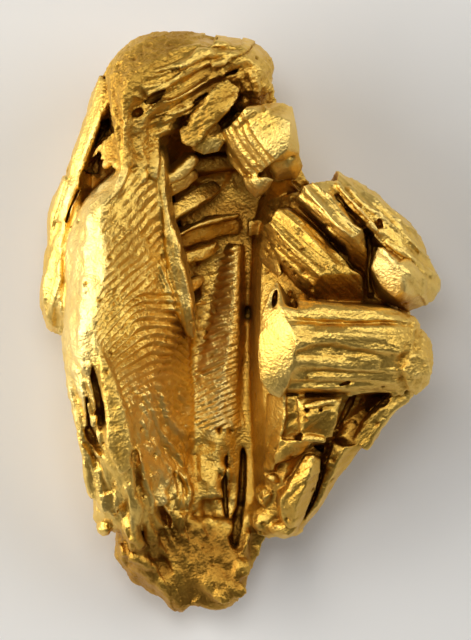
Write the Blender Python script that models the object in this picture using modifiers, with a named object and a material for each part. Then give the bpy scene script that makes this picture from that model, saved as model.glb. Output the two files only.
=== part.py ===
"""A crystalline gold nugget lying on its back, as one closed solid.

The nugget is drawn on a grid of 58.33 units to its length: +X across, +Y along it, +Z up from the
surface that it rests on. UNIT turns a grid unit into metres, and ORIGIN is moved to the frame's
origin. Each form is a closed mesh that overlaps its neighbours; a voxel remesh fuses them, cutters
open the slots and pits, and one flat cut makes the faces that the nugget rests on.
"""

import math
import random

import bmesh
import bpy
from mathutils import Matrix, Vector, noise

# Driving dimensions.
LENGTH = 0.02625  # along Y, metres
GRID_LENGTH = 58.33  # the same length in grid units
UNIT = LENGTH / GRID_LENGTH
ORIGIN = (-0.060, -0.247)

VOXEL = 0.3 * UNIT  # the remesh's cell
RATIO = 0.0414  # share of the fused triangles that the finished solid keeps
REST_CUT = 0.0  # height of the resting plane, grid units

RUNGS = 24  # on the strip in the hollow
RUNG_STEP = 0.78
CENTRE_STEPS = 5  # on the left side of the centre block
BACK_CRYSTALS = 46  # small crystals that cover the back

FORMS = []
CUTTERS = []

# ---------------------------------------------------------------- tools


def clear_scene():
    for obj in list(bpy.data.objects):
        bpy.data.objects.remove(obj, do_unlink=True)


def curve_through(points, count):
    """count points at even steps of a Catmull-Rom curve through these points."""
    known = [Vector(p) for p in points]
    if len(known) == 2:
        return [known[0].lerp(known[1], i / (count - 1)) for i in range(count)]
    padded = [2 * known[0] - known[1], *known, 2 * known[-1] - known[-2]]
    found = []
    for i in range(count):
        place = i / (count - 1) * (len(known) - 1)
        k = min(int(place), len(known) - 2)
        t = place - k
        a, b, c, d = padded[k : k + 4]
        found.append(
            0.5 * (
                2 * b + (c - a) * t + (2 * a - 5 * b + 4 * c - d) * t * t + (3 * b - a - 3 * c + d) * t**3
            )
        )
    return found


def values_through(values, count):
    """The same for plain numbers; one number stands for a constant."""
    if not isinstance(values, (list, tuple)):
        return [values] * count
    return [p.x for p in curve_through([(v, 0, 0) for v in values], count)]


def to_frame():
    """Grid units to metres, with ORIGIN moved to the origin."""
    return Matrix.Scale(UNIT, 4) @ Matrix.Translation((-ORIGIN[0], -ORIGIN[1], 0))


def keep(name, bm, cutter):
    """Stores a form in the object's frame."""
    bmesh.ops.recalc_face_normals(bm, faces=bm.faces)
    mesh = bpy.data.meshes.new(name)
    bm.to_mesh(mesh)
    bm.free()
    mesh.transform(to_frame())
    (CUTTERS if cutter else FORMS).append(mesh)


def crystal(name, corners, cutter=False):
    """A convex crystal: the hull of its corners."""
    bm = bmesh.new()
    for corner in corners:
        bm.verts.new(corner)
    hull = bmesh.ops.convex_hull(bm, input=bm.verts)
    inner = [v for v in hull["geom_interior"] if isinstance(v, bmesh.types.BMVert)]
    bmesh.ops.delete(bm, geom=inner, context="VERTS")
    keep(name, bm, cutter)


def block(name, top, depth, shrink=0.85, shift=(0, 0), cutter=False):
    """A crystal given by its upper face, which tapers downwards."""
    middle = sum((Vector(p) for p in top), Vector()) / len(top)
    foot = [
        (
            middle.x + (x - middle.x) * shrink + shift[0],
            middle.y + (y - middle.y) * shrink + shift[1],
            z - depth,
        )
        for x, y, z in top
    ]
    crystal(name, [*top, *foot], cutter)


def bar(name, path, width, depth, tilt=0, square=5.0, sides=12, cutter=False):
    """A ridge, rib or rod. The path is the middle of its upper face; tilt rolls it about the path."""
    count = 4 * len(path) + 1
    points = curve_through(path, count)
    widths = values_through(width, count)
    depths = values_through(depth, count)
    tilts = values_through(tilt, count)
    bm = bmesh.new()
    rings = []
    for i, point in enumerate(points):
        ahead = (points[min(i + 1, count - 1)] - points[max(i - 1, 0)]).normalized()
        side = ahead.cross(Vector((0, 0, 1))).normalized()
        up = side.cross(ahead)
        roll = Matrix.Rotation(math.radians(tilts[i]), 3, ahead)
        side, up = roll @ side, roll @ up
        end = 0.55 if i in (0, count - 1) else 1.0
        middle = point - up * depths[i] / 2
        ring = []
        for k in range(sides):
            angle = 2 * math.pi * (k + 0.5) / sides
            c, s = math.cos(angle), math.sin(angle)
            uneven = end * (1 + 0.22 * noise.noise(point * 0.8 + Vector((c, s, 0)) * 0.7))
            across = math.copysign(abs(c) ** (2 / square), c) * widths[i] / 2 * uneven
            above = math.copysign(abs(s) ** (2 / square), s) * depths[i] / 2 * end
            ring.append(bm.verts.new(middle + side * across + up * above))
        rings.append(ring)
    for first, second in zip(rings, rings[1:]):
        for k in range(sides):
            bm.faces.new((first[k], first[(k + 1) % sides], second[(k + 1) % sides], second[k]))
    bm.faces.new(rings[0][::-1])
    bm.faces.new(rings[-1])
    keep(name, bm, cutter)


def lump(name, centre, radii, turn=0, rough=0.25, scale=0.6, cutter=False):
    """An uneven lump with flat faces."""
    bm = bmesh.new()
    bmesh.ops.create_icosphere(bm, subdivisions=2, radius=1)
    rotation = Matrix.Rotation(math.radians(turn), 3, "Z")
    for vert in bm.verts:
        direction = vert.co.normalized()
        swell = 1 + rough * noise.noise(direction / scale + Vector(centre))
        size = Vector((direction.x * radii[0], direction.y * radii[1], direction.z * radii[2]))
        vert.co = Vector(centre) + rotation @ size * swell
    keep(name, bm, cutter)


def skin(bm, rails, along, between):
    """An open grid of faces through the rails; returns its rows of vertices."""
    lines = [curve_through(rail, along) for rail in rails]
    grid = []
    for i in range(along):
        row = []
        for j in range(len(lines) - 1):
            for step in range(between):
                row.append(bm.verts.new(lines[j][i].lerp(lines[j + 1][i], step / between)))
        row.append(bm.verts.new(lines[-1][i]))
        grid.append(row)
    for first, second in zip(grid, grid[1:]):
        for k in range(len(first) - 1):
            bm.faces.new((first[k], first[k + 1], second[k + 1], second[k]))
    return grid


def mound(name, rails, base, along=30, between=3, shrink=0.86, toward=None):
    """A solid mass: its upper face passes through the rails, and it narrows to a flat foot at base."""
    bm = bmesh.new()
    grid = skin(bm, rails, along, between)
    middle = sum((v.co for row in grid for v in row), Vector()) / (len(grid) * len(grid[0]))
    middle = Vector(toward) if toward else middle.xy
    rim = [*grid[0], *[row[-1] for row in grid[1:]], *grid[-1][-2::-1], *[row[0] for row in grid[-2:0:-1]]]
    foot = []
    for vert in rim:
        x, y = middle + (vert.co.xy - middle) * shrink
        foot.append(bm.verts.new((x, y, base)))
    for k in range(len(rim)):
        bm.faces.new((rim[k], rim[(k + 1) % len(rim)], foot[(k + 1) % len(rim)], foot[k]))
    bmesh.ops.triangulate(bm, faces=[bm.faces.new(foot)])
    keep(name, bm, False)


def plate(name, rails, thickness, along=30, between=4):
    """A curved plate: its upper face passes through the rails."""
    bm = bmesh.new()
    skin(bm, rails, along, between)
    bmesh.ops.recalc_face_normals(bm, faces=bm.faces)
    if sum(face.normal.z for face in bm.faces) < 0:
        bmesh.ops.reverse_faces(bm, faces=bm.faces)
    mesh = bpy.data.meshes.new(name)
    bm.to_mesh(mesh)
    bm.free()
    mesh.transform(to_frame())
    shell = bpy.data.objects.new(name, mesh)
    bpy.context.collection.objects.link(shell)
    solidify = shell.modifiers.new("thickness", "SOLIDIFY")
    solidify.thickness = thickness * UNIT
    solidify.offset = -1
    graph = bpy.context.evaluated_depsgraph_get()
    FORMS.append(bpy.data.meshes.new_from_object(shell.evaluated_get(graph)))
    bpy.data.objects.remove(shell)


# ---------------------------------------------------------------- the back and the hollow


def back():
    """The hull under everything: a boat-shaped shell whose inside is the floor of the hollow."""
    left = [
        (-8.6, 24, 11), (-11.4, 18.6, 11), (-13.2, 11, 10.5), (-14.2, 3, 9.6), (-13.6, -6, 9.6),
        (-11.9, -13, 9), (-9.6, -19.4, 8), (-6.4, -24.4, 6.4),
    ]
    left_foot = [
        (-7, 24.6, 6.6), (-9.6, 18, 4), (-9.6, 10, 3.3), (-9, 2, 3.2), (-9.4, -6, 3.5), (-8.8, -13, 3.8),
        (-7.6, -20, 4.4), (-5.4, -25, 4.8),
    ]
    keel = [
        (-4, 25, 6.4), (-4, 18, 3.7), (-3, 10, 3.3), (-2.5, 2, 3.1), (-2, -6, 3.3), (-2, -13, 3.6),
        (-3, -20, 4.3), (-4, -25.6, 4.8),
    ]
    right_foot = [
        (-1, 24.4, 7.6), (0.8, 18, 4.6), (4, 10.4, 3.9), (8.2, 2.4, 3.7), (8.2, -6, 3.7), (5.2, -12.8, 4),
        (0, -19, 4.5), (-2.6, -25, 4.8),
    ]
    right = [
        (0.4, 23, 11), (1.4, 18, 10.4), (5.4, 11, 9), (13.4, 3.4, 8.6), (13.4, -4.6, 9), (8, -12, 8.6),
        (1.4, -18.4, 7.6), (-1.6, -24, 6.4),
    ]
    plate("hull", [left, left_foot, keel, right_foot, right], 3)


def rest_faces():
    """The largest crystals of the back. The flat faces of four of them lie in the resting plane."""
    block(
        "rest_crown", [(-10, 23, 8), (-3, 26, 8), (2.6, 20, 8), (-2, 13, 7), (-9, 13.6, 6), (-13, 17, 8)],
        8.3, 0.5, (0.4, -0.8),
    )
    block(
        "rest_left", [(-15.4, 11, 8), (-9, 13, 7), (-3.6, 6, 6), (-7.6, -5, 6), (-14.8, -3, 8)], 8.3, 0.46,
        (0.8, -0.4),
    )
    block(
        "rest_right",
        [(1.4, 8, 6), (9.6, 11, 8), (15.8, 4.4, 8), (13, -6.6, 8), (8.4, -8.6, 7), (1.6, -5, 6)], 8.3, 0.5,
        (-0.6, 0.4),
    )
    block(
        "rest_tail", [(-11, -13, 7), (-4, -8.6, 6), (3, -12, 7), (1.4, -21.6, 6.6), (-7, -25.6, 6)], 7.3,
        0.5, (0.2, 1.2),
    )
    block("back_1", [(-8, 17, 7), (-1, 19, 7), (5, 13, 7), (3.4, 3, 6), (-3, -1, 6)], 6.5, 0.55, (0.6, -1))
    block(
        "back_2", [(-11, -3, 7), (-3, 3, 6), (3.6, -2, 6), (4, -13, 7), (-9, -13, 7)], 6.3, 0.55,
        (-0.6, 0.6),
    )
    block("back_3", [(4, -6, 7), (12, -6, 8), (10.6, -12, 8), (3, -18, 7), (0.6, -12, 6)], 6.2, 0.55)


def underside(x, y):
    """Height of the back at this point: low along the middle, and rising to the outline."""
    across = (x + 2 - 0.06 * y) / (17.5 - 0.012 * (y - 2) ** 2 * (1 if y < 2 else 0.7))
    along = y / 29
    return 0.5 + 7.4 * min(1.2, across * across + along**4 * 0.8) ** 1.15


def back_crystals():
    """Small flat-faced crystals that overlap all over the back, in growth order."""
    chance = random.Random(11)
    left = values_through([-5, -8, -10.4, -11.6, -13, -13.6, -12.6, -10.4, -7.4], BACK_CRYSTALS)
    right = values_through([-2.4, 0.4, 4.6, 8.6, 11.4, 10.6, 2.6, -1, -3], BACK_CRYSTALS)
    for k in range(BACK_CRYSTALS):
        y = -24 + 47 * (k + 0.5) / BACK_CRYSTALS
        share = 0.5 + 0.5 * math.sin(2.4 * k) * chance.uniform(0.6, 1)
        x = left[k] + (right[k] - left[k]) * share
        z = underside(x, y) + 1.5
        long, wide, thick = chance.uniform(2.2, 4.6), chance.uniform(1.3, 2.6), chance.uniform(1.5, 2.1)
        turn = Matrix.Rotation(
            chance.uniform(-0.5, 0.5), 3, "Z",
        ) @ Matrix.Rotation(-0.045 * (x + 2), 3, "Y")
        corners = []
        for sx, sy in ((-1, -0.6), (-0.7, 0.8), (0, 1), (0.8, 0.7), (1, -0.5), (0.1, -1)):
            corners.append(Vector((sx * wide, sy * long, 1)))
            bevel = chance.uniform(0.45, 0.8)
            corners.append(Vector((sx * wide * bevel, sy * long * bevel, -thick)))
        crystal(f"back_crystal_{k}", [turn @ corner + Vector((x, y, z)) for corner in corners])


def column():
    """The ladder-like strip on the floor of the hollow, with its rungs."""
    left = [
        (-1.5, 7.6, 6.2), (-2.1, 4, 6.4), (-2.8, 0, 6.4), (-3.8, -4, 6.6), (-5.2, -8.5, 7), (-5.6, -13, 7),
        (-5.6, -18, 7.2),
    ]
    ridge = [
        (-0.6, 7.6, 7.5), (-0.8, 4, 7.8), (-1, 0, 7.9), (-1.4, -4, 8), (-2, -8.5, 8), (-2.4, -13, 7.8),
        (-2.8, -18, 7.8),
    ]
    cleft = [
        (-0.2, 7.6, 7.6), (-0.4, 4, 7.9), (-0.55, 0, 7.9), (-0.8, -4, 7.8), (-1.2, -8.5, 7.8),
        (-1.6, -13, 7.6), (-2, -18, 7.6),
    ]
    crest = [
        (0.1, 7.6, 7.5), (0, 4, 7.7), (0, 0, 7.7), (-0.2, -4, 7.6), (-0.4, -8.5, 7.5), (-0.8, -13, 7.3),
        (-1.2, -18, 7.1),
    ]
    right = [
        (0.6, 7.6, 6), (0.5, 4, 6), (0.5, 0, 6), (0.4, -4, 6), (0.2, -8.5, 6), (-0.1, -13, 6),
        (-0.5, -18, 6.2),
    ]
    mound("column", [left, ridge, cleft, crest, right], 2)
    block("column_head", [(0.9, 10, 9.4), (2.2, 10.1, 9), (2.2, 8.3, 8.6), (0.9, 8.4, 9)], 6)
    for k in range(RUNGS):
        y = 7.2 - k * RUNG_STEP
        reach = 1.3 + 0.2 * k
        bar(
            f"rung_{k}",
            [
                (-reach - 0.4, y - 0.36 * reach, 6.6 + 0.03 * k), (-0.9 - 0.05 * k, y - 0.15, 7.8),
                (0.1, y + 0.15, 7.35),
            ],
            0.5, 1, sides=6,
        )


def ribs():
    """Shelves that bridge the deep part of the hollow, one above another."""
    bar(
        "rib_1", [(-7.2, 10.3, 11.6), (-5.4, 11.7, 11.4), (-3.8, 12.7, 10.8), (-1.9, 13.7, 9.4)],
        [1.3, 1.7, 1.7, 1.3], 1.5, tilt=-14, square=9,
    )
    bar(
        "rib_2", [(-6.6, 8.2, 11.4), (-4.6, 9.3, 10.8), (-2.4, 10, 10.2), (0.4, 10.6, 9)],
        [0.35, 0.5, 0.6, 0.4], [3, 4, 4.6, 3.6],
    )
    bar(
        "rib_2_face", [(-6.4, 7.6, 9.6), (-4.4, 8.2, 9.2), (-2, 9, 8.6), (0.4, 9.4, 7.6)],
        [1.5, 1.6, 1.6, 1.4], 2.4, tilt=22, square=9,
    )
    bar(
        "rib_3", [(-6.4, 5.9, 10.2), (-4.8, 6.3, 10), (-3.4, 6.7, 9.6), (-1.9, 7.7, 8.4)],
        [1, 1.1, 1.3, 0.9], 1.6, tilt=10, square=9,
    )
    for k in range(5):
        x = -4.2 + 0.42 * k
        bar(
            f"rib_3_tooth_{k}",
            [(x - 0.15, 6.1 + 0.2 * k, 9.9 - 0.1 * k), (x + 0.15, 7.1 + 0.2 * k, 9.9 - 0.12 * k)], 0.24, 1,
            sides=6,
        )
    bar(
        "rib_4", [(-5.8, 3.1, 10), (-4.6, 3.5, 9.8), (-3.4, 4.3, 9)], [0.8, 1.3, 0.9], 1.4, tilt=14,
        square=9,
    )
    bar("rib_5", [(-5.4, 1.2, 9.6), (-4.2, 1.65, 9.2), (-3, 1.8, 8.4)], [0.3, 0.45, 0.3], 1.6)
    bar(
        "rib_shelf", [(-7.8, 12.3, 13), (-5.8, 13.5, 12.4), (-4, 14.8, 11.6)], [1, 1.5, 1], 2, tilt=25,
        square=9,
    )
    bar("rib_back", [(-6.4, 15, 9.4), (-3.4, 15.6, 8.8), (0.4, 16, 8)], 2, 4)


# ---------------------------------------------------------------- the left side


def left_wing():
    """The thick left wall: worn outside, sharp rim, and an inner face that runs down into the hollow."""
    foot = [
        (-11.8, 15.6, 12), (-14.2, 13.6, 9), (-16, 11.6, 8.5), (-17.4, 8.6, 8), (-17.6, 5, 8),
        (-17.6, 1, 8), (-17.7, -3, 8), (-17, -7, 8.5), (-15.7, -11, 8.5), (-14.4, -16, 8), (-12, -21, 7),
    ]
    outer = [
        (-11.6, 15.4, 16.4), (-14, 13.2, 16.6), (-15.6, 11.2, 17), (-17, 8, 16.8), (-17.2, 5, 17),
        (-17.3, 1, 17.4), (-17.5, -3, 17.6), (-16.7, -7, 17.2), (-15.5, -10.5, 16), (-14, -15.5, 14),
        (-12, -21, 10),
    ]
    swell = [
        (-11.5, 15, 18.2), (-13, 13, 19), (-14.7, 11.2, 19.6), (-15.3, 8.3, 20.1), (-15.4, 5, 20.6),
        (-15.7, 1, 20.8), (-16, -2.4, 20.5), (-15.7, -6, 19.6), (-14.8, -10.5, 18), (-13.6, -15.5, 15.6),
        (-11.6, -21, 10.6),
    ]
    rim = [
        (-11.3, 14.8, 18.8), (-12.3, 12.7, 19.8), (-13.7, 11, 20.6), (-13.6, 8.2, 21.2), (-13.3, 5, 21.6),
        (-14.1, 1.2, 21.7), (-14.3, -1.5, 21.4), (-13.4, -5, 20.8), (-12.2, -10, 19.6), (-11.6, -15, 17.4),
        (-9.6, -21, 11),
    ]
    middle = [
        (-10.2, 14.8, 18), (-10.8, 12.7, 18.6), (-11.2, 11, 18.8), (-11.2, 8.2, 19), (-10.9, 5, 19),
        (-11, 1.2, 18.6), (-11, -1.5, 18), (-10.4, -5, 17), (-9.6, -10, 15.2), (-9.2, -15, 13.2),
        (-7.6, -21, 9.6),
    ]
    seam = [
        (-8.6, 14.8, 16.8), (-8.2, 12.7, 16.2), (-8, 11, 15.8), (-8, 8.2, 15.4), (-7.6, 5, 15.2),
        (-7, 1.2, 14.6), (-6.7, -1.5, 13.8), (-6.8, -5, 12.2), (-6.4, -10, 10.4), (-6.2, -15, 9.2),
        (-5, -21, 8),
    ]
    edge = [
        (-7.8, 14.8, 15.6), (-7.4, 12.7, 14.6), (-7, 11, 14), (-6.6, 8.2, 13.6), (-5.9, 5, 13),
        (-5.3, 1.2, 12), (-5.2, -1.5, 10.6), (-5.2, -5, 8.6), (-4.8, -10, 7.8), (-4.6, -15, 7.4),
        (-3.4, -21, 7),
    ]
    mound(
        "wing", [foot, outer, swell, rim, middle, seam, edge], 2.8, along=56, between=4, shrink=0.72,
        toward=(-3, -1),
    )
    bar(
        "blade",
        [
            (-7.9, 17, 16.6), (-7.7, 13.4, 16.2), (-7.4, 10.6, 16), (-6.9, 8, 15.8), (-6.5, 5.6, 15.4),
            (-5.9, 2.4, 14.6), (-5.3, -0.2, 13.6), (-4.6, -2.4, 11),
        ],
        [0.7, 0.8, 0.9, 1.5, 1.9, 1.9, 1.6, 0.7], 3.4, tilt=8,
    )
    bar(
        "lower_rim",
        [(-13.8, -3.2, 21.4), (-13.1, -6, 21.2), (-12.3, -9, 20.8), (-12, -12.4, 20), (-11.5, -15.8, 18)],
        [0.5, 1.5, 2.1, 2.7, 0.6], 3.4,
    )
    bar(
        "rim_joint",
        [
            (-13.4, 11.4, 20.4), (-12.1, 13, 19.9), (-11.5, 14.8, 19.4), (-11.7, 16.8, 19.2),
            (-12.1, 19.2, 19.2), (-12.4, 21.4, 19), (-12.9, 23.4, 18.4),
        ],
        [0.3, 0.9, 1, 0.9, 0.8, 0.8, 0.4], 4,
    )
    bar(
        "inner_fold", [(-8.4, 5.7, 16), (-7.7, 4.2, 15.6), (-7.1, 2.4, 15.2), (-6.7, 0.8, 14.8)],
        [0.5, 1, 1, 0.5], 1.6,
    )


def left_layers():
    """Thin sheets that overlap on the outside of the left wall."""
    low = [
        (-14, 24.4, 9), (-14.9, 22.2, 9), (-16, 18.6, 8.6), (-17.4, 14.8, 8), (-19, 11.4, 7.6),
        (-19.2, 8, 7), (-19.8, 4.6, 6.6), (-20.1, 1.8, 6.6), (-19.2, -0.8, 7), (-17.8, -1.7, 7.4),
    ]
    out = [
        (-13.8, 24.2, 12.6), (-14.6, 22, 13), (-15.7, 18.6, 13), (-17.1, 14.8, 12.8), (-18.6, 11.3, 12.4),
        (-18.9, 8, 12), (-19.5, 4.6, 12), (-19.7, 1.8, 11.8), (-18.9, -0.5, 10.2), (-17.7, -1.4, 9.8),
    ]
    inn = [
        (-12.6, 22.8, 15), (-13.6, 20.8, 14.6), (-14.7, 18, 14.2), (-15.9, 14.8, 13.8), (-16.9, 11.4, 13.8),
        (-17.7, 8.4, 13.6), (-17.9, 5, 13.6), (-17.9, 2.4, 13.4), (-17.6, 0.6, 12.6), (-17.2, -0.4, 11),
    ]
    root = [
        (-12.2, 22.6, 14), (-13.1, 20.6, 13), (-14.1, 17.8, 11), (-15.2, 14.6, 11), (-16, 11.4, 13.4),
        (-17, 8.6, 13.4), (-17.3, 5, 13.4), (-17.3, 2.4, 13.2), (-17, 0.6, 12.4), (-16.8, -0.2, 11),
    ]
    mound("outer_sheet", [low, out, inn, root], 4, along=40, shrink=0.8, toward=(-3, 5))
    crystal(
        "web",
        [
            (-12, 18.8, 17), (-12.6, 18.6, 16.4), (-14.5, 17.1, 14.4), (-14.8, 16.2, 14), (-13.8, 17, 15),
            (-13.4, 16, 15.4), (-12.2, 15.8, 16.6), (-11.8, 17, 17.2), (-13, 17.4, 11), (-14, 16.8, 11),
            (-12, 17, 11),
        ],
    )
    bar("web_low", [(-11.8, 15.2, 18), (-12.8, 15.7, 16.4), (-13.6, 15.2, 15)], [0.9, 1, 0.6], 3)
    bar(
        "low_sheet",
        [
            (-16.9, -3.4, 17.2), (-16.7, -6.4, 17.4), (-16, -10, 16.8), (-15.3, -13, 15.8),
            (-14.9, -16, 14.4), (-14.4, -18.2, 12.8),
        ],
        [0.9, 1.3, 1.2, 1.3, 1.5, 1.3], 5, tilt=4,
    )
    bar(
        "low_blade", [(-15.3, -4.4, 19), (-14.9, -8, 18), (-14.4, -11, 17), (-14.1, -13.2, 16)], 0.4, 3,
        sides=8,
    )
    bar("low_blade_2", [(-15.6, -6.4, 18), (-15.5, -9, 17.2), (-15, -12, 16.4)], 0.3, 2.4, sides=8)
    crystal(
        "low_block",
        [
            (-15.2, -14.6, 13.4), (-14.8, -17.8, 11), (-14.5, -20, 9.6), (-13.8, -21.1, 8.4),
            (-12.2, -21.3, 8.4), (-11.2, -20.6, 10.6), (-11.2, -17, 13.6), (-12.4, -14.6, 15.6),
            (-14.4, -15, 15), (-13.9, -18, 13.8), (-13.3, -19.8, 12.2), (-12.4, -20.3, 11.8),
            (-14.4, -18, 5), (-12, -20.8, 5), (-12, -16, 6),
        ],
    )
    crystal(
        "low_facet",
        [
            (-14, -17.6, 14.2), (-13.6, -19, 13.4), (-12.6, -19.6, 12.8), (-11.8, -18.4, 13.8),
            (-12.4, -17, 14.8), (-13.2, -18.4, 9),
        ],
    )
    lump("low_knob", (-13.3, -20.6, 9.6), (1.1, 0.8, 1.4), 20)
    bar(
        "fold",
        [
            (-11.1, -14, 17.8), (-10.9, -16.6, 16.4), (-10.7, -19, 14.6), (-10.6, -21.4, 12.4),
            (-10, -23.2, 9.8), (-9.4, -24.8, 7.2),
        ],
        [0.6, 1.1, 1.3, 1.5, 1.1, 0.8], 5, square=9,
    )
    bar(
        "fold_edge",
        [(-10, -13.4, 16.8), (-9.5, -16, 15), (-8.9, -18.2, 13.2), (-8.4, -19.8, 11.6), (-8, -21.4, 9.2)],
        [0.4, 0.8, 0.9, 0.6, 0.4], 4, square=9,
    )
    bar(
        "fold_low",
        [(-9.8, -17.6, 14), (-9.4, -20, 12.2), (-8.6, -22, 10), (-7.6, -24, 8), (-6.8, -25.6, 6)],
        [0.5, 0.9, 1.1, 1, 0.7], 4, square=9,
    )


# ---------------------------------------------------------------- the crown


def crown():
    """The hood over the top: a domed outside that steps down in ledges to the inside."""
    low = [
        (-11.2, 14.6, 11), (-12.6, 17.6, 11.5), (-13, 20.6, 11.5), (-13.5, 23.8, 11), (-12.7, 26.2, 10.5),
        (-10, 28.3, 10), (-5.8, 28.9, 10), (-2, 28.3, 10), (1.4, 27.6, 10.5), (3.4, 25.6, 11),
        (2.9, 23.4, 11.5), (1.8, 21.8, 12),
    ]
    shoulder = [
        (-11.2, 15, 17.5), (-12.1, 17.8, 18), (-12.3, 20.6, 18.4), (-12.9, 23.4, 18.2), (-12, 25.8, 17),
        (-9.6, 27.6, 16), (-5.7, 28.2, 15), (-2.1, 27.6, 14.6), (0.9, 27, 14.4), (2.8, 25.2, 14.4),
        (2.4, 23.6, 14.4), (1.6, 22.2, 14.4),
    ]
    crest = [
        (-10.8, 15.2, 18.8), (-11.5, 17.8, 19.6), (-11.5, 20.4, 20.4), (-11.4, 22.6, 20.9),
        (-10.4, 24.3, 20.6), (-8.2, 25.7, 19.6), (-5.4, 26.4, 18.4), (-2.6, 26.5, 17.4), (-0.2, 26.3, 16.8),
        (1.8, 25.3, 16.2), (1.9, 24, 16), (1.2, 22.8, 15.6),
    ]
    lip = [
        (-10.6, 15.4, 18.4), (-11.2, 17.6, 19.2), (-11.2, 19.6, 20), (-10.8, 21.6, 20.4),
        (-9.5, 22.7, 20.2), (-7.6, 23.5, 19.4), (-5.8, 24.6, 18.5), (-3.6, 25.6, 17.5), (-1.2, 25.9, 16.8),
        (0.8, 25.2, 16.2), (1.2, 24.2, 16), (0.6, 22.8, 15.4),
    ]
    tread_1 = [
        (-10, 15.4, 17.6), (-10.6, 17.4, 18), (-10.6, 19.2, 18.6), (-10.2, 20.9, 19), (-9, 22, 18.8),
        (-7.2, 22.9, 18.2), (-5.6, 24, 17.6), (-3.6, 24.8, 16.8), (-1.4, 25.2, 16.2), (0.2, 24.8, 16),
        (0.7, 24, 15.8), (0.2, 22.8, 15.4),
    ]
    nose_1 = [
        (-9.4, 15.4, 17.7), (-9.8, 17.2, 17.9), (-9.8, 18.8, 18.5), (-9.2, 20.3, 18.9), (-8, 21.2, 18.7),
        (-6.2, 22.2, 18.1), (-4.6, 23.2, 17.5), (-3, 23.9, 16.7), (-1.4, 24.4, 16.1), (-0.2, 24.1, 15.8),
        (0.2, 23.5, 15.5), (-0.1, 22.6, 15.1),
    ]
    tread_2 = [
        (-9, 15.2, 16.6), (-9, 17, 16.6), (-9, 18.4, 16.8), (-8.4, 19.6, 17), (-7.2, 20.5, 17),
        (-5.6, 21.4, 16.6), (-4.2, 22.2, 16.2), (-2.8, 23, 15.6), (-1.6, 23.5, 15.2), (-0.7, 23.4, 15),
        (-0.3, 23, 14.8), (-0.5, 22.2, 14.4),
    ]
    nose_2 = [
        (-8.4, 15.1, 16.7), (-8.2, 16.8, 16.5), (-8, 18, 16.5), (-7.4, 19, 16.7), (-6.2, 19.9, 16.7),
        (-4.9, 20.7, 16.3), (-3.7, 21.5, 15.9), (-2.6, 22.2, 15.3), (-1.6, 22.7, 14.9), (-1, 22.7, 14.7),
        (-0.6, 22.4, 14.5), (-0.7, 21.8, 14.3),
    ]
    inside = [
        (-7.8, 15, 14.5), (-7.6, 16.5, 14.1), (-7.2, 17.4, 13.9), (-6.6, 18.2, 13.9), (-5.5, 19.1, 13.9),
        (-4.4, 19.9, 13.7), (-3.3, 20.7, 13.5), (-2.3, 21.4, 13.5), (-1.5, 21.9, 13.5), (-1, 22, 13.5),
        (-0.7, 21.8, 13.5), (-0.8, 21.4, 13.3),
    ]
    end = [
        (-6.8, 14.8, 10), (-6.2, 15.4, 10), (-5.4, 16, 10), (-4.6, 16.8, 10), (-3.8, 17.6, 10),
        (-3, 18.4, 10), (-2.3, 19.2, 10), (-1.7, 19.9, 10), (-1.3, 20.4, 10), (-0.9, 20.7, 10),
        (-0.8, 20.7, 10), (-0.9, 20.5, 10),
    ]
    mound(
        "crown", [low, shoulder, crest, lip, tread_1, nose_1, tread_2, nose_2, inside, end], 3, along=56,
        between=3, shrink=0.66, toward=(-5, 14),
    )


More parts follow.
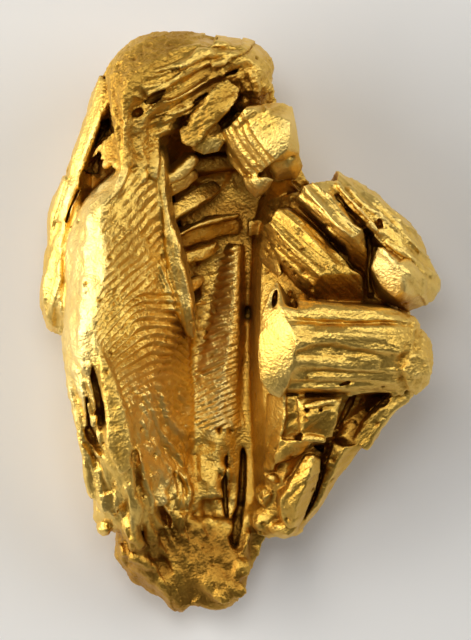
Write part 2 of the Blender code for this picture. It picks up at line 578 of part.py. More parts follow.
def crown_details():
    bar(
        "lip_1",
        [(-9.4, 22.2, 20), (-7.6, 23, 19.4), (-5.8, 24.3, 18.6), (-3.4, 25.3, 17.6), (-0.6, 25.7, 16.8)],
        [0.3, 0.5, 0.6, 0.6, 0.4], 1.6, tilt=16,
    )
    bar(
        "lip_2",
        [(-9.5, 20.4, 19.2), (-8, 21.5, 19), (-6.4, 21.9, 18.4), (-4.6, 22.9, 17.8), (-2.8, 23.9, 16.9)],
        [0.4, 0.7, 0.6, 0.6, 0.4], 1.6, tilt=16,
    )
    bar(
        "lip_3",
        [(-9.4, 19.7, 18), (-7.6, 20.5, 17.7), (-5.8, 21.1, 17.2), (-3.6, 22.3, 16.4), (-2, 23.5, 15.8)],
        [0.5, 0.8, 0.7, 0.6, 0.3], 1.6, tilt=16,
    )
    bar(
        "top_ridge_1", [(-8.4, 24.6, 20.2), (-6, 25.4, 19.2), (-4, 26.3, 18.2), (-2.2, 26.3, 17.6)],
        [0.3, 0.6, 0.8, 0.4], 1,
    )
    bar(
        "top_ridge_2", [(-7, 26.3, 18.9), (-4.6, 27, 17.6), (-1.8, 27.1, 16.2), (0.8, 26.6, 15.6)],
        [0.4, 0.7, 0.7, 0.5], 1,
    )
    crystal(
        "cross_bar",
        [
            (-6.1, 18.5, 16.2), (-5.7, 17.5, 16.2), (-4.6, 17.1, 16.3), (-4.4, 20.4, 17.2),
            (-2.8, 19, 17.2), (-1.2, 20.6, 17.5), (-2.4, 23.5, 17.5), (-1.2, 23.9, 17.2), (-0.2, 23, 17),
            (-0.2, 22, 17.2), (-3.4, 21.6, 17.8), (-5.4, 18.2, 14), (-1.4, 22.8, 14), (-4.6, 19.6, 14),
            (-3, 20, 14),
        ],
    )
    bar(
        "neck", [(-10.3, 13.2, 17.9), (-10.2, 15.2, 18), (-10, 16.8, 17.6), (-9.9, 18.4, 17.2)],
        [2.4, 2.2, 2, 1.6], 4,
    )
    bar(
        "post", [(-8.6, 19, 16.4), (-8.6, 17.2, 17), (-8.5, 15.4, 17.6), (-8.6, 13.8, 17.4)],
        [1.1, 1.4, 1.2, 0.8], 3,
    )
    crystal(
        "inner_facet",
        [
            (-4.8, 17, 15), (-3.6, 16.5, 15.2), (-2.1, 16.8, 15.4), (-1.5, 17.9, 15.6), (-1.7, 19, 15.4),
            (-2.4, 19.9, 15), (-3.8, 18.6, 16), (-4.6, 17.6, 15.6), (-3, 19, 10), (-2, 17.6, 10),
            (-4, 17, 10),
        ],
    )
    bar(
        "shelf", [(-7.7, 13.6, 14.8), (-6.4, 14.2, 14.6), (-5.2, 15.2, 14.2), (-4.2, 16.4, 14)],
        [0.8, 1.3, 1.4, 1], 2.4, tilt=20,
    )
    lump("knob", (1.5, 23.6, 12.8), (1.7, 2.5, 2.9), -20)
    bar(
        "knob_ridge", [(0.3, 25.4, 15.8), (1.2, 24.4, 16.4), (1.6, 23, 16), (1.4, 21.8, 14.6)],
        [0.5, 0.7, 0.8, 0.6], 2,
    )
    lump("knob_low", (0.4, 21.6, 12.6), (1.4, 1.1, 2), 20)


def centre_block():
    """The chunky crystal under the right end of the crown, stepped on its left side."""
    crystal(
        "centre_crystal",
        [
            (0.2, 20.9, 20.4), (2.6, 20.6, 20.9), (4.9, 19.7, 21.3), (4.9, 18.2, 21.4), (4.6, 16.8, 21.3),
            (3.5, 15.8, 20.9), (2.4, 16.9, 20.8), (1.1, 18.8, 20.5), (1.4, 21, 17.2), (3.1, 21.4, 17.4),
            (5.2, 21.2, 17.6), (5.4, 20, 19.4), (5.9, 17.4, 19), (5.9, 16.5, 18.6), (1, 20, 10),
            (5.2, 20.4, 12), (5.6, 16, 12), (3, 15.4, 11),
        ],
    )
    rails = [
        [(1.2, 20.4, 17), (2.2, 19, 17), (3.4, 17.2, 17), (4.2, 16, 17)],
        [(0.3, 20.9, 20.3), (1.3, 19, 20.7), (2.7, 17, 20.7), (3.6, 15.8, 20.3)],
    ]
    for k in range(CENTRE_STEPS):
        low = 20 - 0.9 * k
        nose = [
            (0.1 - 0.45 * k, 20.8 - 0.5 * k), (0.95 - 0.42 * k, 19 - 0.52 * k),
            (2.3 - 0.45 * k, 17 - 0.5 * k), (3.3 - 0.45 * k, 15.6 - 0.34 * k),
        ]
        rails.append([(x, y, low + 0.1 * i) for i, (x, y) in enumerate(nose)])
        rails.append([(x - 0.1, y - 0.1, low - 0.62 + 0.1 * i) for i, (x, y) in enumerate(nose)])
    rails.append([(-1.7, 18.7, 14), (-1.3, 16.6, 14), (0, 14.6, 14), (1.3, 13.9, 14)])
    mound("centre_steps", rails, 10, along=20, between=1, shrink=0.9)
    crystal(
        "centre_side",
        [
            (-0.2, 20.8, 17), (-1.4, 19.4, 14), (-1.6, 18.6, 14), (-1.5, 17.2, 14), (-0.9, 15.6, 14.4),
            (0.2, 14.3, 14.8), (2.2, 14.3, 15.6), (3, 15, 17), (0.8, 18, 17.6), (-1, 18, 9), (1, 15, 9),
            (2, 18, 9),
        ],
    )
    crystal(
        "centre_foot",
        [
            (0.2, 14.3, 15.4), (0.7, 12.9, 15.2), (1.6, 12.1, 15.2), (2.5, 12.7, 16), (3.4, 14, 17),
            (1.1, 14, 16.8), (2.2, 14.2, 17.2), (1.8, 13, 16.6), (1, 13.6, 10), (3, 14, 10),
        ],
    )
    crystal(
        "centre_knob",
        [
            (2.9, 15.3, 17.6), (4.3, 16.4, 19), (5.8, 16.5, 18.6), (6.35, 15.3, 17), (5.7, 14.1, 15.8),
            (3.6, 13.9, 15.8), (4.7, 15.1, 18.4), (3.4, 15, 11), (5.8, 15.8, 12), (5.2, 14, 12),
        ],
    )
    crystal(
        "centre_link",
        [
            (2.6, 13.8, 12), (5, 14, 12.6), (5.9, 13, 11), (4.6, 11.4, 10), (2.6, 12, 9), (3, 13.6, 6),
            (5.6, 12.4, 6),
        ],
    )


# ---------------------------------------------------------------- the right side


def right_mass():
    """What the right-hand crystals grow from; its left side is the smooth inner wall of the hollow."""
    foot = [
        (1.6, 12.6, 6), (1.1, 9, 5.5), (1, 5, 5.5), (0.9, 1, 5.5), (0.9, -3, 5.5), (0.8, -7, 5.5),
        (0.8, -11, 5.5), (0.8, -15, 5.5), (0.8, -19, 5.5), (0.9, -22, 5.5),
    ]
    wall = [
        (3.4, 12.4, 10), (2.5, 9, 11), (2.1, 5, 11.6), (2, 1, 12.6), (2, -3, 13), (2.2, -7, 13),
        (2.5, -11, 12), (2.6, -15, 10.6), (2.4, -19, 9), (1.9, -21.6, 7.5),
    ]
    top = [
        (5, 12.6, 12), (5.6, 10, 13), (6.4, 6, 13.4), (7, 1, 15), (7, -3, 17), (6.4, -7, 15.6),
        (5.6, -11, 13.6), (4.6, -15, 12), (3.8, -19, 10), (2.8, -21.6, 8),
    ]
    brow = [
        (6, 12.9, 11.4), (10.4, 11, 12), (13, 6.6, 12), (14.4, 1.6, 12), (15, -3, 15), (12.5, -7.4, 13.6),
        (9.6, -11, 12), (7.4, -15, 11), (5.2, -19, 9.6), (3.4, -21.6, 8),
    ]
    side = [
        (6.4, 13.3, 9), (12, 12.2, 9), (16.8, 7.5, 8.6), (17, 1.2, 8.6), (17.6, -3.5, 9), (14.8, -8.4, 9),
        (11.4, -12.4, 9), (8.6, -16.4, 8.6), (5.9, -20.2, 7.6), (3.9, -21.8, 7),
    ]
    mound("right_mass", [foot, wall, top, brow, side], 2.4, along=40, between=4, shrink=0.6, toward=(3, -2))


def right_crystals():
    """Elongated crystals that fan out above the block, and the lump at their foot."""
    mound("crystal_a", [
        [(2.3, 9.4, 12), (3.3, 6.4, 12.5), (4.6, 4.6, 13), (6.4, 2.6, 13.4)],
        [(2.5, 9.5, 16.2), (3.6, 6.9, 16.8), (5, 5, 17.2), (6.9, 2.9, 17.2)],
        [(2.9, 9.7, 17.8), (4.6, 7.9, 18.8), (6.4, 6.1, 19.5), (8.1, 4.4, 19.9)],
        [(3.3, 10.2, 17.3), (5.2, 8.4, 18.1), (7.1, 6.5, 18.8), (8.7, 5, 19.3)],
        [(3.8, 11, 17.9), (6, 9.2, 18.8), (7.9, 7.2, 19.4), (9.5, 5.5, 19.6)],
        [(4.6, 11.1, 16.8), (6.6, 9.6, 17.6), (8.8, 7.4, 18.2), (10.8, 5, 18.4)],
        [(4.7, 11.2, 12), (7, 9.8, 12), (9.2, 7.6, 12), (11, 5.1, 12)],
    ], 10, along=12, between=2, shrink=1)
    crystal(
        "crystal_a_end",
        [
            (8.1, 4.5, 19.9), (7, 4.8, 18.4), (9.3, 5.8, 19.4), (10.7, 5.3, 18.3), (11.9, 4.6, 18.2),
            (12.2, 4.2, 17.4), (12.3, 1.7, 14.6), (9.3, 1.7, 15.8), (6.8, 2, 15.8), (9, 5, 12),
            (12, 4.4, 11), (7, 2, 11), (12.2, 1.8, 11),
        ],
    )
    bar(
        "crystal_a_blade", [(8.3, 7.6, 18.2), (9.6, 6.6, 18.6), (10.5, 5.6, 18.7), (10.9, 4.7, 18.6)], 0.28,
        1.6, sides=8,
    )
    bar(
        "crystal_a_lip", [(4.2, 11.1, 17.6), (5.8, 9.9, 18.2), (7.6, 7.9, 18.8), (8.9, 6.1, 19.2)], 0.35,
        1.6, sides=8,
    )
    crystal(
        "plate_a",
        [
            (1.8, 6.3, 12.6), (2.4, 9.4, 14), (3, 9, 15), (3.5, 6, 15), (4.2, 4.6, 15.2), (3.8, 4.2, 14.6),
            (2.4, 5.4, 12.6), (2.4, 8, 10), (3.6, 5, 10),
        ],
    )
    bar("plate_a_edge", [(3.9, 4.5, 16.2), (5, 3.7, 16.8), (6.2, 2.5, 17.2)], [0.3, 0.6, 0.5], 2)
    mound("crystal_b", [
        [(5.2, 11.8, 10.5), (7.2, 9.6, 11), (9.3, 7.4, 11.5), (10.7, 6.2, 11.5)],
        [(5.7, 12.2, 16.2), (7.7, 10.2, 17.4), (9.6, 8.2, 18), (10.9, 7.2, 17.4)],
        [(6.3, 13.3, 17.4), (8.2, 11.1, 18.8), (10, 9.1, 19.5), (11.2, 8.1, 19)],
        [(6.8, 13.5, 16.9), (8.6, 11.5, 18.2), (10.2, 9.6, 18.9), (11.6, 8.5, 18.6)],
        [(7.6, 13.8, 17.1), (9.2, 12, 18.2), (10.5, 10.2, 18.9), (12, 9, 18.7)],
        [(9, 13.9, 16.4), (9.7, 12.2, 17.4), (10.7, 10.4, 18.2), (12.3, 9, 18.2)],
        [(9.2, 13.9, 10.5), (9.9, 12.3, 11), (11, 10.5, 11), (12.5, 9, 11)],
    ], 9, along=12, between=2, shrink=1)
    crystal(
        "crystal_b_end",
        [
            (10.5, 7.4, 17.6), (11.2, 8.3, 19), (12.3, 9, 18.4), (12.6, 6.2, 16.2), (12.7, 4.4, 14),
            (11.7, 4.4, 14), (10.8, 5.8, 15), (11.6, 8, 10), (12.4, 5, 10),
        ],
    )
    mound("crystal_c", [
        [(8.8, 13.2, 10.5), (10.2, 11.2, 10.5), (12, 9, 10.5), (13.6, 7.2, 10.5), (15, 6, 10.5)],
        [(9.1, 13.8, 16.4), (10.4, 11.6, 17.6), (12.3, 9.7, 18), (13.7, 8, 17.8), (15.6, 6.2, 17.2)],
        [(9.7, 14, 16), (11.8, 11.9, 17.4), (13.9, 9.8, 18), (15.8, 7.8, 17.6), (17.2, 5.6, 16.6)],
        [(9.7, 14.6, 15.2), (12.2, 12.5, 16.8), (14.7, 10.3, 17.2), (16.8, 7.9, 16.6), (18.3, 5.2, 15.2)],
        [(9.6, 14.9, 13.6), (12.8, 13, 14.6), (15.7, 10.7, 15), (17.8, 8, 14.6), (19.5, 4.8, 13.4)],
        [(9.6, 15, 11.6), (13, 13.1, 12), (16.1, 10.6, 12), (18.2, 7.8, 11.6), (20, 4, 10.8)],
        [(9.8, 14.4, 8.5), (12.8, 12.7, 8.5), (15.6, 10.2, 8.5), (17.6, 7.4, 8.5), (19.2, 3.8, 8.5)],
    ], 4, along=20, between=2, shrink=0.78, toward=(4, 3))
    bar(
        "arch_1", [(9.3, 14.1, 16.6), (11, 11.9, 18.1), (12.6, 10.3, 18.5), (13.9, 8.6, 18.3)],
        [0.4, 0.6, 0.6, 0.4], 2, tilt=-10, sides=8,
    )
    bar(
        "arch_2", [(10.4, 13.6, 16.8), (12.4, 11.5, 18), (14.2, 10.2, 18.1), (15.8, 8.8, 17.7)],
        [0.4, 0.5, 0.6, 0.4], 2, tilt=-16, sides=8,
    )
    bar(
        "arch_3",
        [(11, 13.6, 15.9), (13.2, 12.1, 17), (15.2, 10.2, 17.3), (17, 8, 16.8), (18.2, 6.4, 15.8)],
        [0.4, 0.6, 0.7, 0.7, 0.4], 2, tilt=-22, sides=8,
    )
    bar(
        "arch_4", [(14.4, 8, 18), (15.7, 7, 17.8), (17, 6.1, 17.2), (18.6, 4.9, 15.6)],
        [0.3, 0.5, 0.6, 0.3], 2, tilt=-12, sides=8,
    )
    crystal(
        "end_lump",
        [
            (13.7, 7.2, 17.8), (14.3, 7.1, 18.4), (15.3, 5.8, 19), (16.3, 4, 19), (16.3, 2.8, 18.5),
            (15.4, 2.2, 17.8), (14.2, 3.1, 17.6), (13, 5.2, 17.6), (13.7, 2.3, 13.6), (12.9, 5, 12),
            (17.6, 5, 17), (19.8, 4.6, 13.8), (20.1, 3.6, 12.6), (19.4, 2.1, 12), (17.9, 1.2, 11.8),
            (16.8, 0.8, 11.6), (17.4, 2.4, 16.2), (14, 6, 9), (18, 4.4, 8), (14, 2.4, 9), (18, 2, 8.6),
        ],
    )


def lower_block():
    """The big banded crystal low on the right."""
    crystal(
        "block_face",
        [
            (3.7, 4, 18.4), (2.9, 2.6, 18.6), (2.2, 0.6, 18.8), (1.9, -1.6, 18.9), (1.8, -4, 18.7),
            (2, -6, 18.3), (2.9, -7.3, 18), (4, -7.8, 17.8), (4.7, -6.6, 19), (5.2, -5, 20.4),
            (5.5, -3, 21.4), (5.2, -1, 21.6), (4.4, 0.4, 20.8), (3.9, 2, 19.4), (3, 2.4, 9), (2.2, -5.8, 9),
            (6.4, 0, 9), (5, -7, 9),
        ],
    )
    mound("block_bands", [
        [(5.6, 2.1, 12), (8, 1.9, 13), (12, 1.7, 13), (15, 1.3, 12), (17.2, 0.4, 11)],
        [(5.9, 1.9, 19.4), (8, 1.7, 20.2), (12, 1.4, 20), (14.6, 1.1, 19.4), (17.2, 0.2, 17)],
        [(5.8, 1.2, 20.4), (8, 1.2, 20.9), (12, 0.9, 20.7), (14.8, 0.6, 20.1), (17.4, -0.1, 17.8)],
        [(5, 0.4, 20.9), (8, 0.1, 21.1), (12, -0.1, 20.9), (15, 0, 20.3), (17.4, -0.4, 18.2)],
        [(4.8, 0, 20.9), (8, -0.2, 20.4), (12, -0.4, 20.2), (15, -0.25, 19.7), (17.4, -0.6, 18)],
        [(4.9, -0.6, 21.4), (8, -0.5, 21.2), (12, -0.65, 21), (15, -0.6, 20.4), (17.4, -1, 18.4)],
        [(5.4, -1.8, 21.8), (8, -1.3, 21.7), (12, -1.5, 21.4), (15, -1.6, 20.8), (17.3, -1.9, 18.9)],
        [(5.5, -2.9, 21.6), (8, -2.2, 21.6), (11.6, -2.7, 21.3), (15, -3.2, 20.6), (17, -3.1, 19)],
        [(5.5, -3.2, 21), (8, -2.6, 20.5), (11.6, -3.1, 20.2), (15, -3.6, 19.5), (16.9, -3.6, 18)],
        [(5.3, -4.6, 20.6), (7.6, -4.7, 20.2), (11.6, -4.7, 19.8), (15, -5, 18.9), (16.8, -5.2, 17.2)],
        [(5.2, -5.2, 20), (7.6, -5, 19.2), (11.6, -5.2, 19), (15, -5.3, 18.4), (16.8, -5.6, 16.8)],
        [(5, -6, 19), (7.6, -5.8, 19.4), (11.4, -5.8, 19), (15, -6, 18), (16.8, -6.2, 16.4)],
        [(4.9, -6.3, 18.2), (7.6, -6.1, 18.4), (11.4, -6.2, 18.2), (15, -6.3, 17.6), (16.6, -6.6, 16)],
        [(4.8, -6.8, 18), (7.6, -6.8, 18.4), (11.4, -6.6, 18.1), (14.6, -6.5, 17.4), (16.4, -7, 15.8)],
        [(4.7, -7.2, 17), (7.6, -7.1, 17.2), (11.2, -7.1, 17), (14.4, -6.9, 16.6), (16.2, -7.4, 15)],
        [(4.7, -7.6, 12), (7.6, -7.6, 12), (11.2, -7.6, 12), (14.4, -7.4, 12), (16.2, -7.8, 11)],
    ], 4.4, along=26, between=2, shrink=0.7, toward=(4, -3))
    bar(
        "block_blade", [(3.9, 3.2, 18.6), (3.95, 2.2, 19.4), (4.4, 1.2, 20.4), (5.4, 0.6, 21)],
        [0.35, 0.6, 1, 1.2], 3, tilt=-14,
    )
    bar("block_link", [(6.1, 2.9, 17.4), (6.1, 2, 19), (6.1, 1, 20.2)], [0.8, 0.9, 1], 3)
    lump("block_end", (17, -3.5, 14.6), (2.2, 3.7, 4.4), 8)
    lump("block_end_top", (16.9, -0.9, 15.4), (1.1, 1.2, 2.4), 8)
    bar(
        "block_edge",
        [(17.7, -4, 15), (16.6, -6.6, 14.6), (14.7, -8.8, 14.4), (12.9, -10.9, 13.8), (11.6, -12.8, 13)],
        [2.2, 2, 1.8, 2, 2.2], 5,
    )
    bar(
        "cavity_brow", [(10.6, -7.4, 16.8), (12.6, -7, 16.6), (14.8, -7, 16), (15.8, -7.6, 15.2)],
        [0.5, 0.5, 0.6, 0.6], 2,
    )


def lower_cluster():
    """Small crystals under the block."""
    crystal(
        "cluster_a",
        [
            (6, -11.2, 16.6), (6.8, -9.6, 17.6), (5.6, -7.7, 17), (9.9, -8.6, 17.4), (10.2, -7.6, 16.6),
            (9.4, -10, 16.6), (9.2, -11.7, 15.8), (7, -11.8, 16), (6, -11, 11), (9, -9, 11),
        ],
    )
    bar("cluster_fold", [(6.2, -8.6, 17.8), (8, -8.2, 18), (10, -7.9, 17.2)], [0.5, 0.6, 0.4], 2)
    bar("cluster_bar", [(6, -11.7, 16.6), (7.3, -11.8, 16.8), (8.7, -12, 16.4)], [0.6, 0.9, 0.7], 2)
    crystal(
        "cluster_side",
        [
            (4.2, -7.6, 16.4), (6.4, -7.4, 16.6), (7, -9.2, 16.4), (6, -11.2, 15.8), (5, -12.4, 15),
            (4, -11.6, 14.6), (4.1, -9.8, 15.8), (5.2, -9, 9), (5.2, -11, 9),
        ],
    )
    crystal(
        "cluster_b",
        [
            (4, -11.9, 15.4), (5.6, -11.9, 16.4), (7.1, -12.4, 15.8), (6.2, -13.3, 14.8),
            (3.4, -14.4, 13.4), (3.4, -13.6, 14), (4, -12, 10), (5, -14, 10),
        ],
    )
    mound("cluster_leaf", [
        [(6.4, -13.6, 11), (4.9, -16, 10), (4, -18.4, 9), (4.4, -20.4, 8)],
        [(6.6, -13.5, 15.2), (5.2, -15.9, 14.4), (4.3, -18.2, 13), (4.7, -20.2, 11.2)],
        [(7.3, -13.4, 15.8), (6.7, -16, 15.2), (5.7, -18.4, 13.8), (5.3, -20.6, 11.4)],
        [(8, -13.8, 14.4), (7.7, -16, 13.4), (6.8, -18.4, 12), (5.8, -20.6, 10.4)],
        [(8, -14, 10), (7.8, -16.2, 9), (6.9, -18.6, 8.4), (5.9, -20.8, 8)],
    ], 7, along=16, between=2, shrink=1)
    bar(
        "cluster_leaf_edge", [(4.9, -16.6, 13.8), (4.3, -18.2, 13), (4.6, -19.9, 11.6), (5.4, -20.9, 10.6)],
        [0.4, 0.7, 0.7, 0.6], 3,
    )
    mound("cluster_strip", [
        [(2.5, -7.6, 11), (2.4, -9.6, 10.5), (2.3, -12, 9.6), (2.2, -15, 8.6)],
        [(2.9, -7.4, 15), (2.7, -9.6, 14), (2.5, -12, 12.4), (2.4, -15, 10.8)],
        [(4.5, -7.4, 17.4), (4.5, -9.8, 16.6), (3.9, -12.4, 14.8), (3.3, -15, 12.4)],
        [(4.9, -7.6, 14), (4.9, -9.8, 14), (4.3, -12.6, 12.4), (3.6, -15.2, 10.8)],
    ], 7, along=16, between=3, shrink=1)
    bar("cluster_hook", [(2.6, -15.6, 11.4), (3.4, -15.8, 11.8), (4, -16.2, 11)], [0.5, 0.8, 0.5], 2)
    lump("cluster_lump_1", (2.9, -17.4, 8.4), (1.4, 1.6, 2), rough=0.3)
    lump("cluster_lump_2", (2.9, -19.8, 7.4), (1.8, 2, 2), rough=0.25)
    lump("cluster_lump_3", (4.5, -20.8, 8), (1.9, 1.1, 2.2))
    mound("low_rim", [
        [(9.2, -12.2, 10), (8.5, -14.6, 9.4), (7.9, -16.9, 8.6), (7, -18.8, 8), (5.8, -20.6, 7.6)],
        [(9.3, -12.3, 13.6), (8.6, -14.6, 12.8), (8, -16.9, 11.8), (7.1, -18.9, 10.8), (5.9, -20.8, 9.4)],
        [(10.6, -12.6, 14.4), (9.5, -14.7, 13.2), (8.6, -16.8, 12), (7.6, -18.8, 10.8), (6.2, -20.8, 9.2)],
        [(12.4, -12.3, 12.4), (10.6, -14.9, 11.2), (9.1, -16.9, 10.2), (7.9, -18.9, 9), (6.3, -21, 8)],
        [(12.4, -12.2, 9), (10.6, -14.8, 8), (9.1, -16.8, 7.6), (7.9, -18.8, 7), (6.2, -20.9, 6.6)],
    ], 4, along=20, between=3, shrink=0.76, toward=(0, -11))
    bar("cavity_slope", [(12.6, -8.8, 11.6), (11.6, -10.6, 12.4), (10.6, -12.2, 13.2)], [2.6, 2.4, 2], 4)


def tail():
    """The lumpy lower end, with a crust along its left edge."""
    mound("tail", [
        [
            (-11.8, -20, 6.4), (-12.7, -22.6, 6), (-11.9, -25.1, 5.4), (-9.7, -27.1, 4.8),
            (-7.4, -28.5, 4.4), (-5.7, -29.6, 4.2),
        ],
        [
            (-11.2, -20, 11), (-11.4, -22.8, 9.6), (-10.2, -24.4, 9), (-8.7, -26, 8), (-7, -27.6, 6.8),
            (-5.6, -28.9, 5.6),
        ],
        [
            (-9, -20, 9.6), (-9, -22.6, 7.8), (-8, -24.6, 7.4), (-7, -26, 7), (-6, -27.4, 6.4),
            (-5, -28.7, 5.6),
        ],
        [
            (-5.6, -20, 8.4), (-5.6, -22.4, 8.2), (-5.2, -24.6, 8), (-4.6, -26.2, 7.6), (-4.2, -27.6, 6.8),
            (-3.9, -29, 5.6),
        ],
        [
            (-2.6, -20, 7.6), (-2.4, -22.4, 7.8), (-2, -24.6, 7.8), (-2, -26.4, 7.4), (-2, -27.8, 6.8),
            (-2.4, -29.2, 5.2),
        ],
        [
            (0.4, -20, 7), (0.5, -22.4, 7.2), (0.2, -24.6, 7), (0, -26.4, 6.6), (-0.4, -27.8, 6),
            (-1, -29.2, 4.8),
        ],
        [
            (1.6, -20.4, 6), (1.2, -22.2, 5.6), (0.9, -24.4, 5.2), (0.8, -26.5, 4.8), (0.2, -28.2, 4.6),
            (-0.6, -29.2, 4.2),
        ],
    ], 2, along=30, between=4, shrink=0.72, toward=(-3.6, -19))
    bar(
        "tail_crust",
        [
            (-11.9, -22.1, 9.4), (-11.3, -23.3, 9.8), (-10.2, -23.9, 9.8), (-8.9, -24.7, 9.2),
            (-8, -25.2, 8.4),
        ],
        [0.8, 0.9, 0.6, 0.6, 0.4], 3,
    )
    bar("tail_edge", [(0.9, -21.1, 8), (0.6, -22.4, 8), (0.1, -23.6, 7.8)], 0.5, 3)
    bar("tail_fold", [(-9.8, -22, 10), (-9, -23.2, 9), (-7.8, -23.9, 8.4)], [0.6, 0.8, 0.8], 3)
    for k, (x, y, r) in enumerate(
        (
            (-2.2, -24.5, 0.8), (-3.8, -24, 0.8), (-3.2, -26.2, 1), (-1.2, -26.4, 1), (0.1, -25, 0.8),
            (-1.6, -27.8, 0.9), (-5, -22.3, 0.9), (-3.4, -20.6, 1), (-2.7, -22.6, 0.7), (0, -27, 0.7),
        )
    ):
        lump(f"tail_lump_{k}", (x, y, 7.2), (1.3 * r, 1.1 * r, 0.75), 30 * k, rough=0.4)
    bar(
        "leaf_outline", [(-6.1, -14.8, 9.6), (-5.4, -16, 9.8), (-5, -17.4, 9.4), (-5.6, -19.2, 8.8)],
        [0.3, 0.5, 0.5, 0.3], 1.6,
    )
    lump("leaf", (-6, -17.6, 8.6), (0.7, 1.5, 0.8), 8)
    lump("lens", (-1, -19.2, 6), (0.55, 1.3, 1), 4, rough=0.02)


# ---------------------------------------------------------------- slots and pits


def slots():
    """What is cut out of the fused forms."""
    bar(
        "slot_floor", [(0.3, -12.6, 9), (0.3, -15, 9), (0.1, -18, 9), (-0.3, -20.6, 9), (-0.7, -22.8, 9)],
        [0.3, 0.6, 0.7, 1.1, 1.1], 5.6, cutter=True,
    )
    bar(
        "slot_floor_left", [(-1.3, -13.4, 9), (-1.5, -15.6, 9), (-1.5, -18, 9), (-1.3, -20, 9)],
        [0.2, 0.25, 0.3, 0.2], 4, cutter=True,
    )
    bar(
        "slot_side",
        [
            (-14.8, -4.8, 23.6), (-14, -8, 23.4), (-13.7, -11, 22.9), (-13.6, -13.6, 21.4),
            (-12.7, -15.6, 19.2),
        ],
        [0.5, 0.9, 1.1, 1.2, 0.9], 8, cutter=True,
    )
    bar(
        "slot_side_2", [(-15.3, -7.6, 21.2), (-15, -10, 21), (-14.7, -13, 19.7)], [0.25, 0.45, 0.5], 5,
        cutter=True,
    )
    bar(
        "slot_crown_1", [(-9.4, 21.5, 22), (-8.6, 22.1, 22), (-7.3, 22.9, 22)], [0.3, 0.75, 0.3], 5,
        cutter=True,
    )
    bar("slot_crown_3", [(-1.6, 24.3, 19), (-0.2, 24.9, 19)], 0.4, 5.5, cutter=True)
    bar(
        "slot_crown_4", [(-5.4, 20.7, 18.6), (-4.2, 21.6, 18.4), (-2.8, 22.8, 18)], [0.3, 0.6, 0.4], 4,
        cutter=True,
    )
    lump("pit_crown", (-10.2, 20.5, 19.2), (0.6, 0.35, 1.4), 30, cutter=True)
    crystal(
        "gap_upper",
        [
            (-13.8, 20, 20), (-12.9, 20.2, 20), (-12.8, 19.3, 20), (-13.7, 18.5, 20), (-14.5, 17.2, 20),
            (-14.2, 18.6, 20), (-13.8, 20, 7), (-12.9, 20.2, 7), (-12.9, 19.3, 7), (-14.5, 17.2, 7),
        ],
        cutter=True,
    )
    crystal(
        "gap_lower",
        [
            (-13.9, 16.9, 20), (-13.5, 16.1, 20), (-14.2, 14.6, 20), (-15, 14.4, 20), (-15.9, 14.9, 20),
            (-14.8, 15.9, 20), (-13.9, 16.9, 7), (-14.2, 14.6, 7), (-15.9, 14.9, 7),
        ],
        cutter=True,
    )
    bar(
        "gap_line", [(-15.8, 13.6, 17.8), (-16.7, 11.6, 18), (-17.4, 9.6, 18)], [0.4, 0.35, 0.2], 8,
        cutter=True,
    )
    lump("pit_lens", (3.45, 2.2, 19.5), (0.32, 1, 3), -10, cutter=True)
    lump("pit_lens_2", (5.2, 2.6, 18.4), (0.55, 0.95, 4), 24, cutter=True)
    lump("pit_a_1", (5, 5.2, 18.4), (0.3, 0.3, 1.6), cutter=True)
    lump("pit_a_2", (5.5, 4.5, 18.4), (0.3, 0.4, 1.6), cutter=True)
    lump("pit_a_3", (5.5, 3.7, 18.4), (0.4, 0.35, 2), cutter=True)
    bar(
        "slot_bc", [(9.6, 12.6, 20), (10.2, 11.5, 20), (10.8, 10.5, 20), (12.2, 9.1, 20)],
        [0.2, 0.3, 0.3, 0.35], 4.5, cutter=True,
    )
    bar(
        "gap_bd", [(12.9, 8.7, 20), (13, 6.8, 20), (12.8, 4.6, 20), (13.1, 2.2, 20)], [0.5, 0.7, 0.4, 1],
        11, cutter=True,
    )
    lump("pit_c", (13.8, 9.5, 18.4), (0.4, 0.7, 1.4), 20, cutter=True)
    lump("pit_block_1", (12.2, -8.2, 15.6), (0.6, 0.6, 3.4), cutter=True)
    lump("pit_block_2", (11.5, -10.2, 14.6), (0.4, 0.45, 3), cutter=True)
    lump("pit_block_3", (13.8, -8.1, 14.8), (1.1, 0.8, 1.6), 10, cutter=True)
    bar(
        "slot_block", [(11.2, -7.8, 20.6), (10.3, -9.6, 20.4), (9.2, -11.8, 20.2)], [0.5, 0.7, 0.5], 9,
        cutter=True,
    )
    bar("slot_ledge", [(9.8, -6.5, 20), (11, -6.1, 20)], 0.3, 3, cutter=True)
    lump("pit_cluster_1", (6.7, -8.9, 17.4), (0.3, 0.25, 1.2), cutter=True)
    lump("pit_cluster_2", (8, -8.9, 17.4), (0.3, 0.25, 1.2), cutter=True)
    crystal(
        "gap_leaf",
        [
            (7.2, -12.5, 20), (8.4, -12.5, 20), (8.4, -13.4, 20), (7.8, -13.3, 20), (7.2, -12.5, 9),
            (8.4, -12.5, 9), (8.4, -13.4, 9),
        ],
        cutter=True,
    )
    lump("pit_tail", (-7.4, -19.8, 11), (0.5, 1.5, 3.4), 24, cutter=True)
    lump("pit_leaf", (-6.5, -15.9, 10), (0.4, 0.9, 1.4), 20, cutter=True)
    lump("pit_inner", (-8.1, -5, 15.4), (0.7, 0.5, 1), cutter=True)
    lump("pit_rung", (-2.1, -11, 8), (0.3, 0.5, 1.4), cutter=True)


# ---------------------------------------------------------------- assembly


def joined(name, meshes):
    """One object made of these closed meshes."""
    bm = bmesh.new()
    for mesh in meshes:
        bm.from_mesh(mesh)
        bpy.data.meshes.remove(mesh)
    mesh = bpy.data.meshes.new(name)
    bm.to_mesh(mesh)
    bm.free()
    return bpy.data.objects.new(name, mesh)


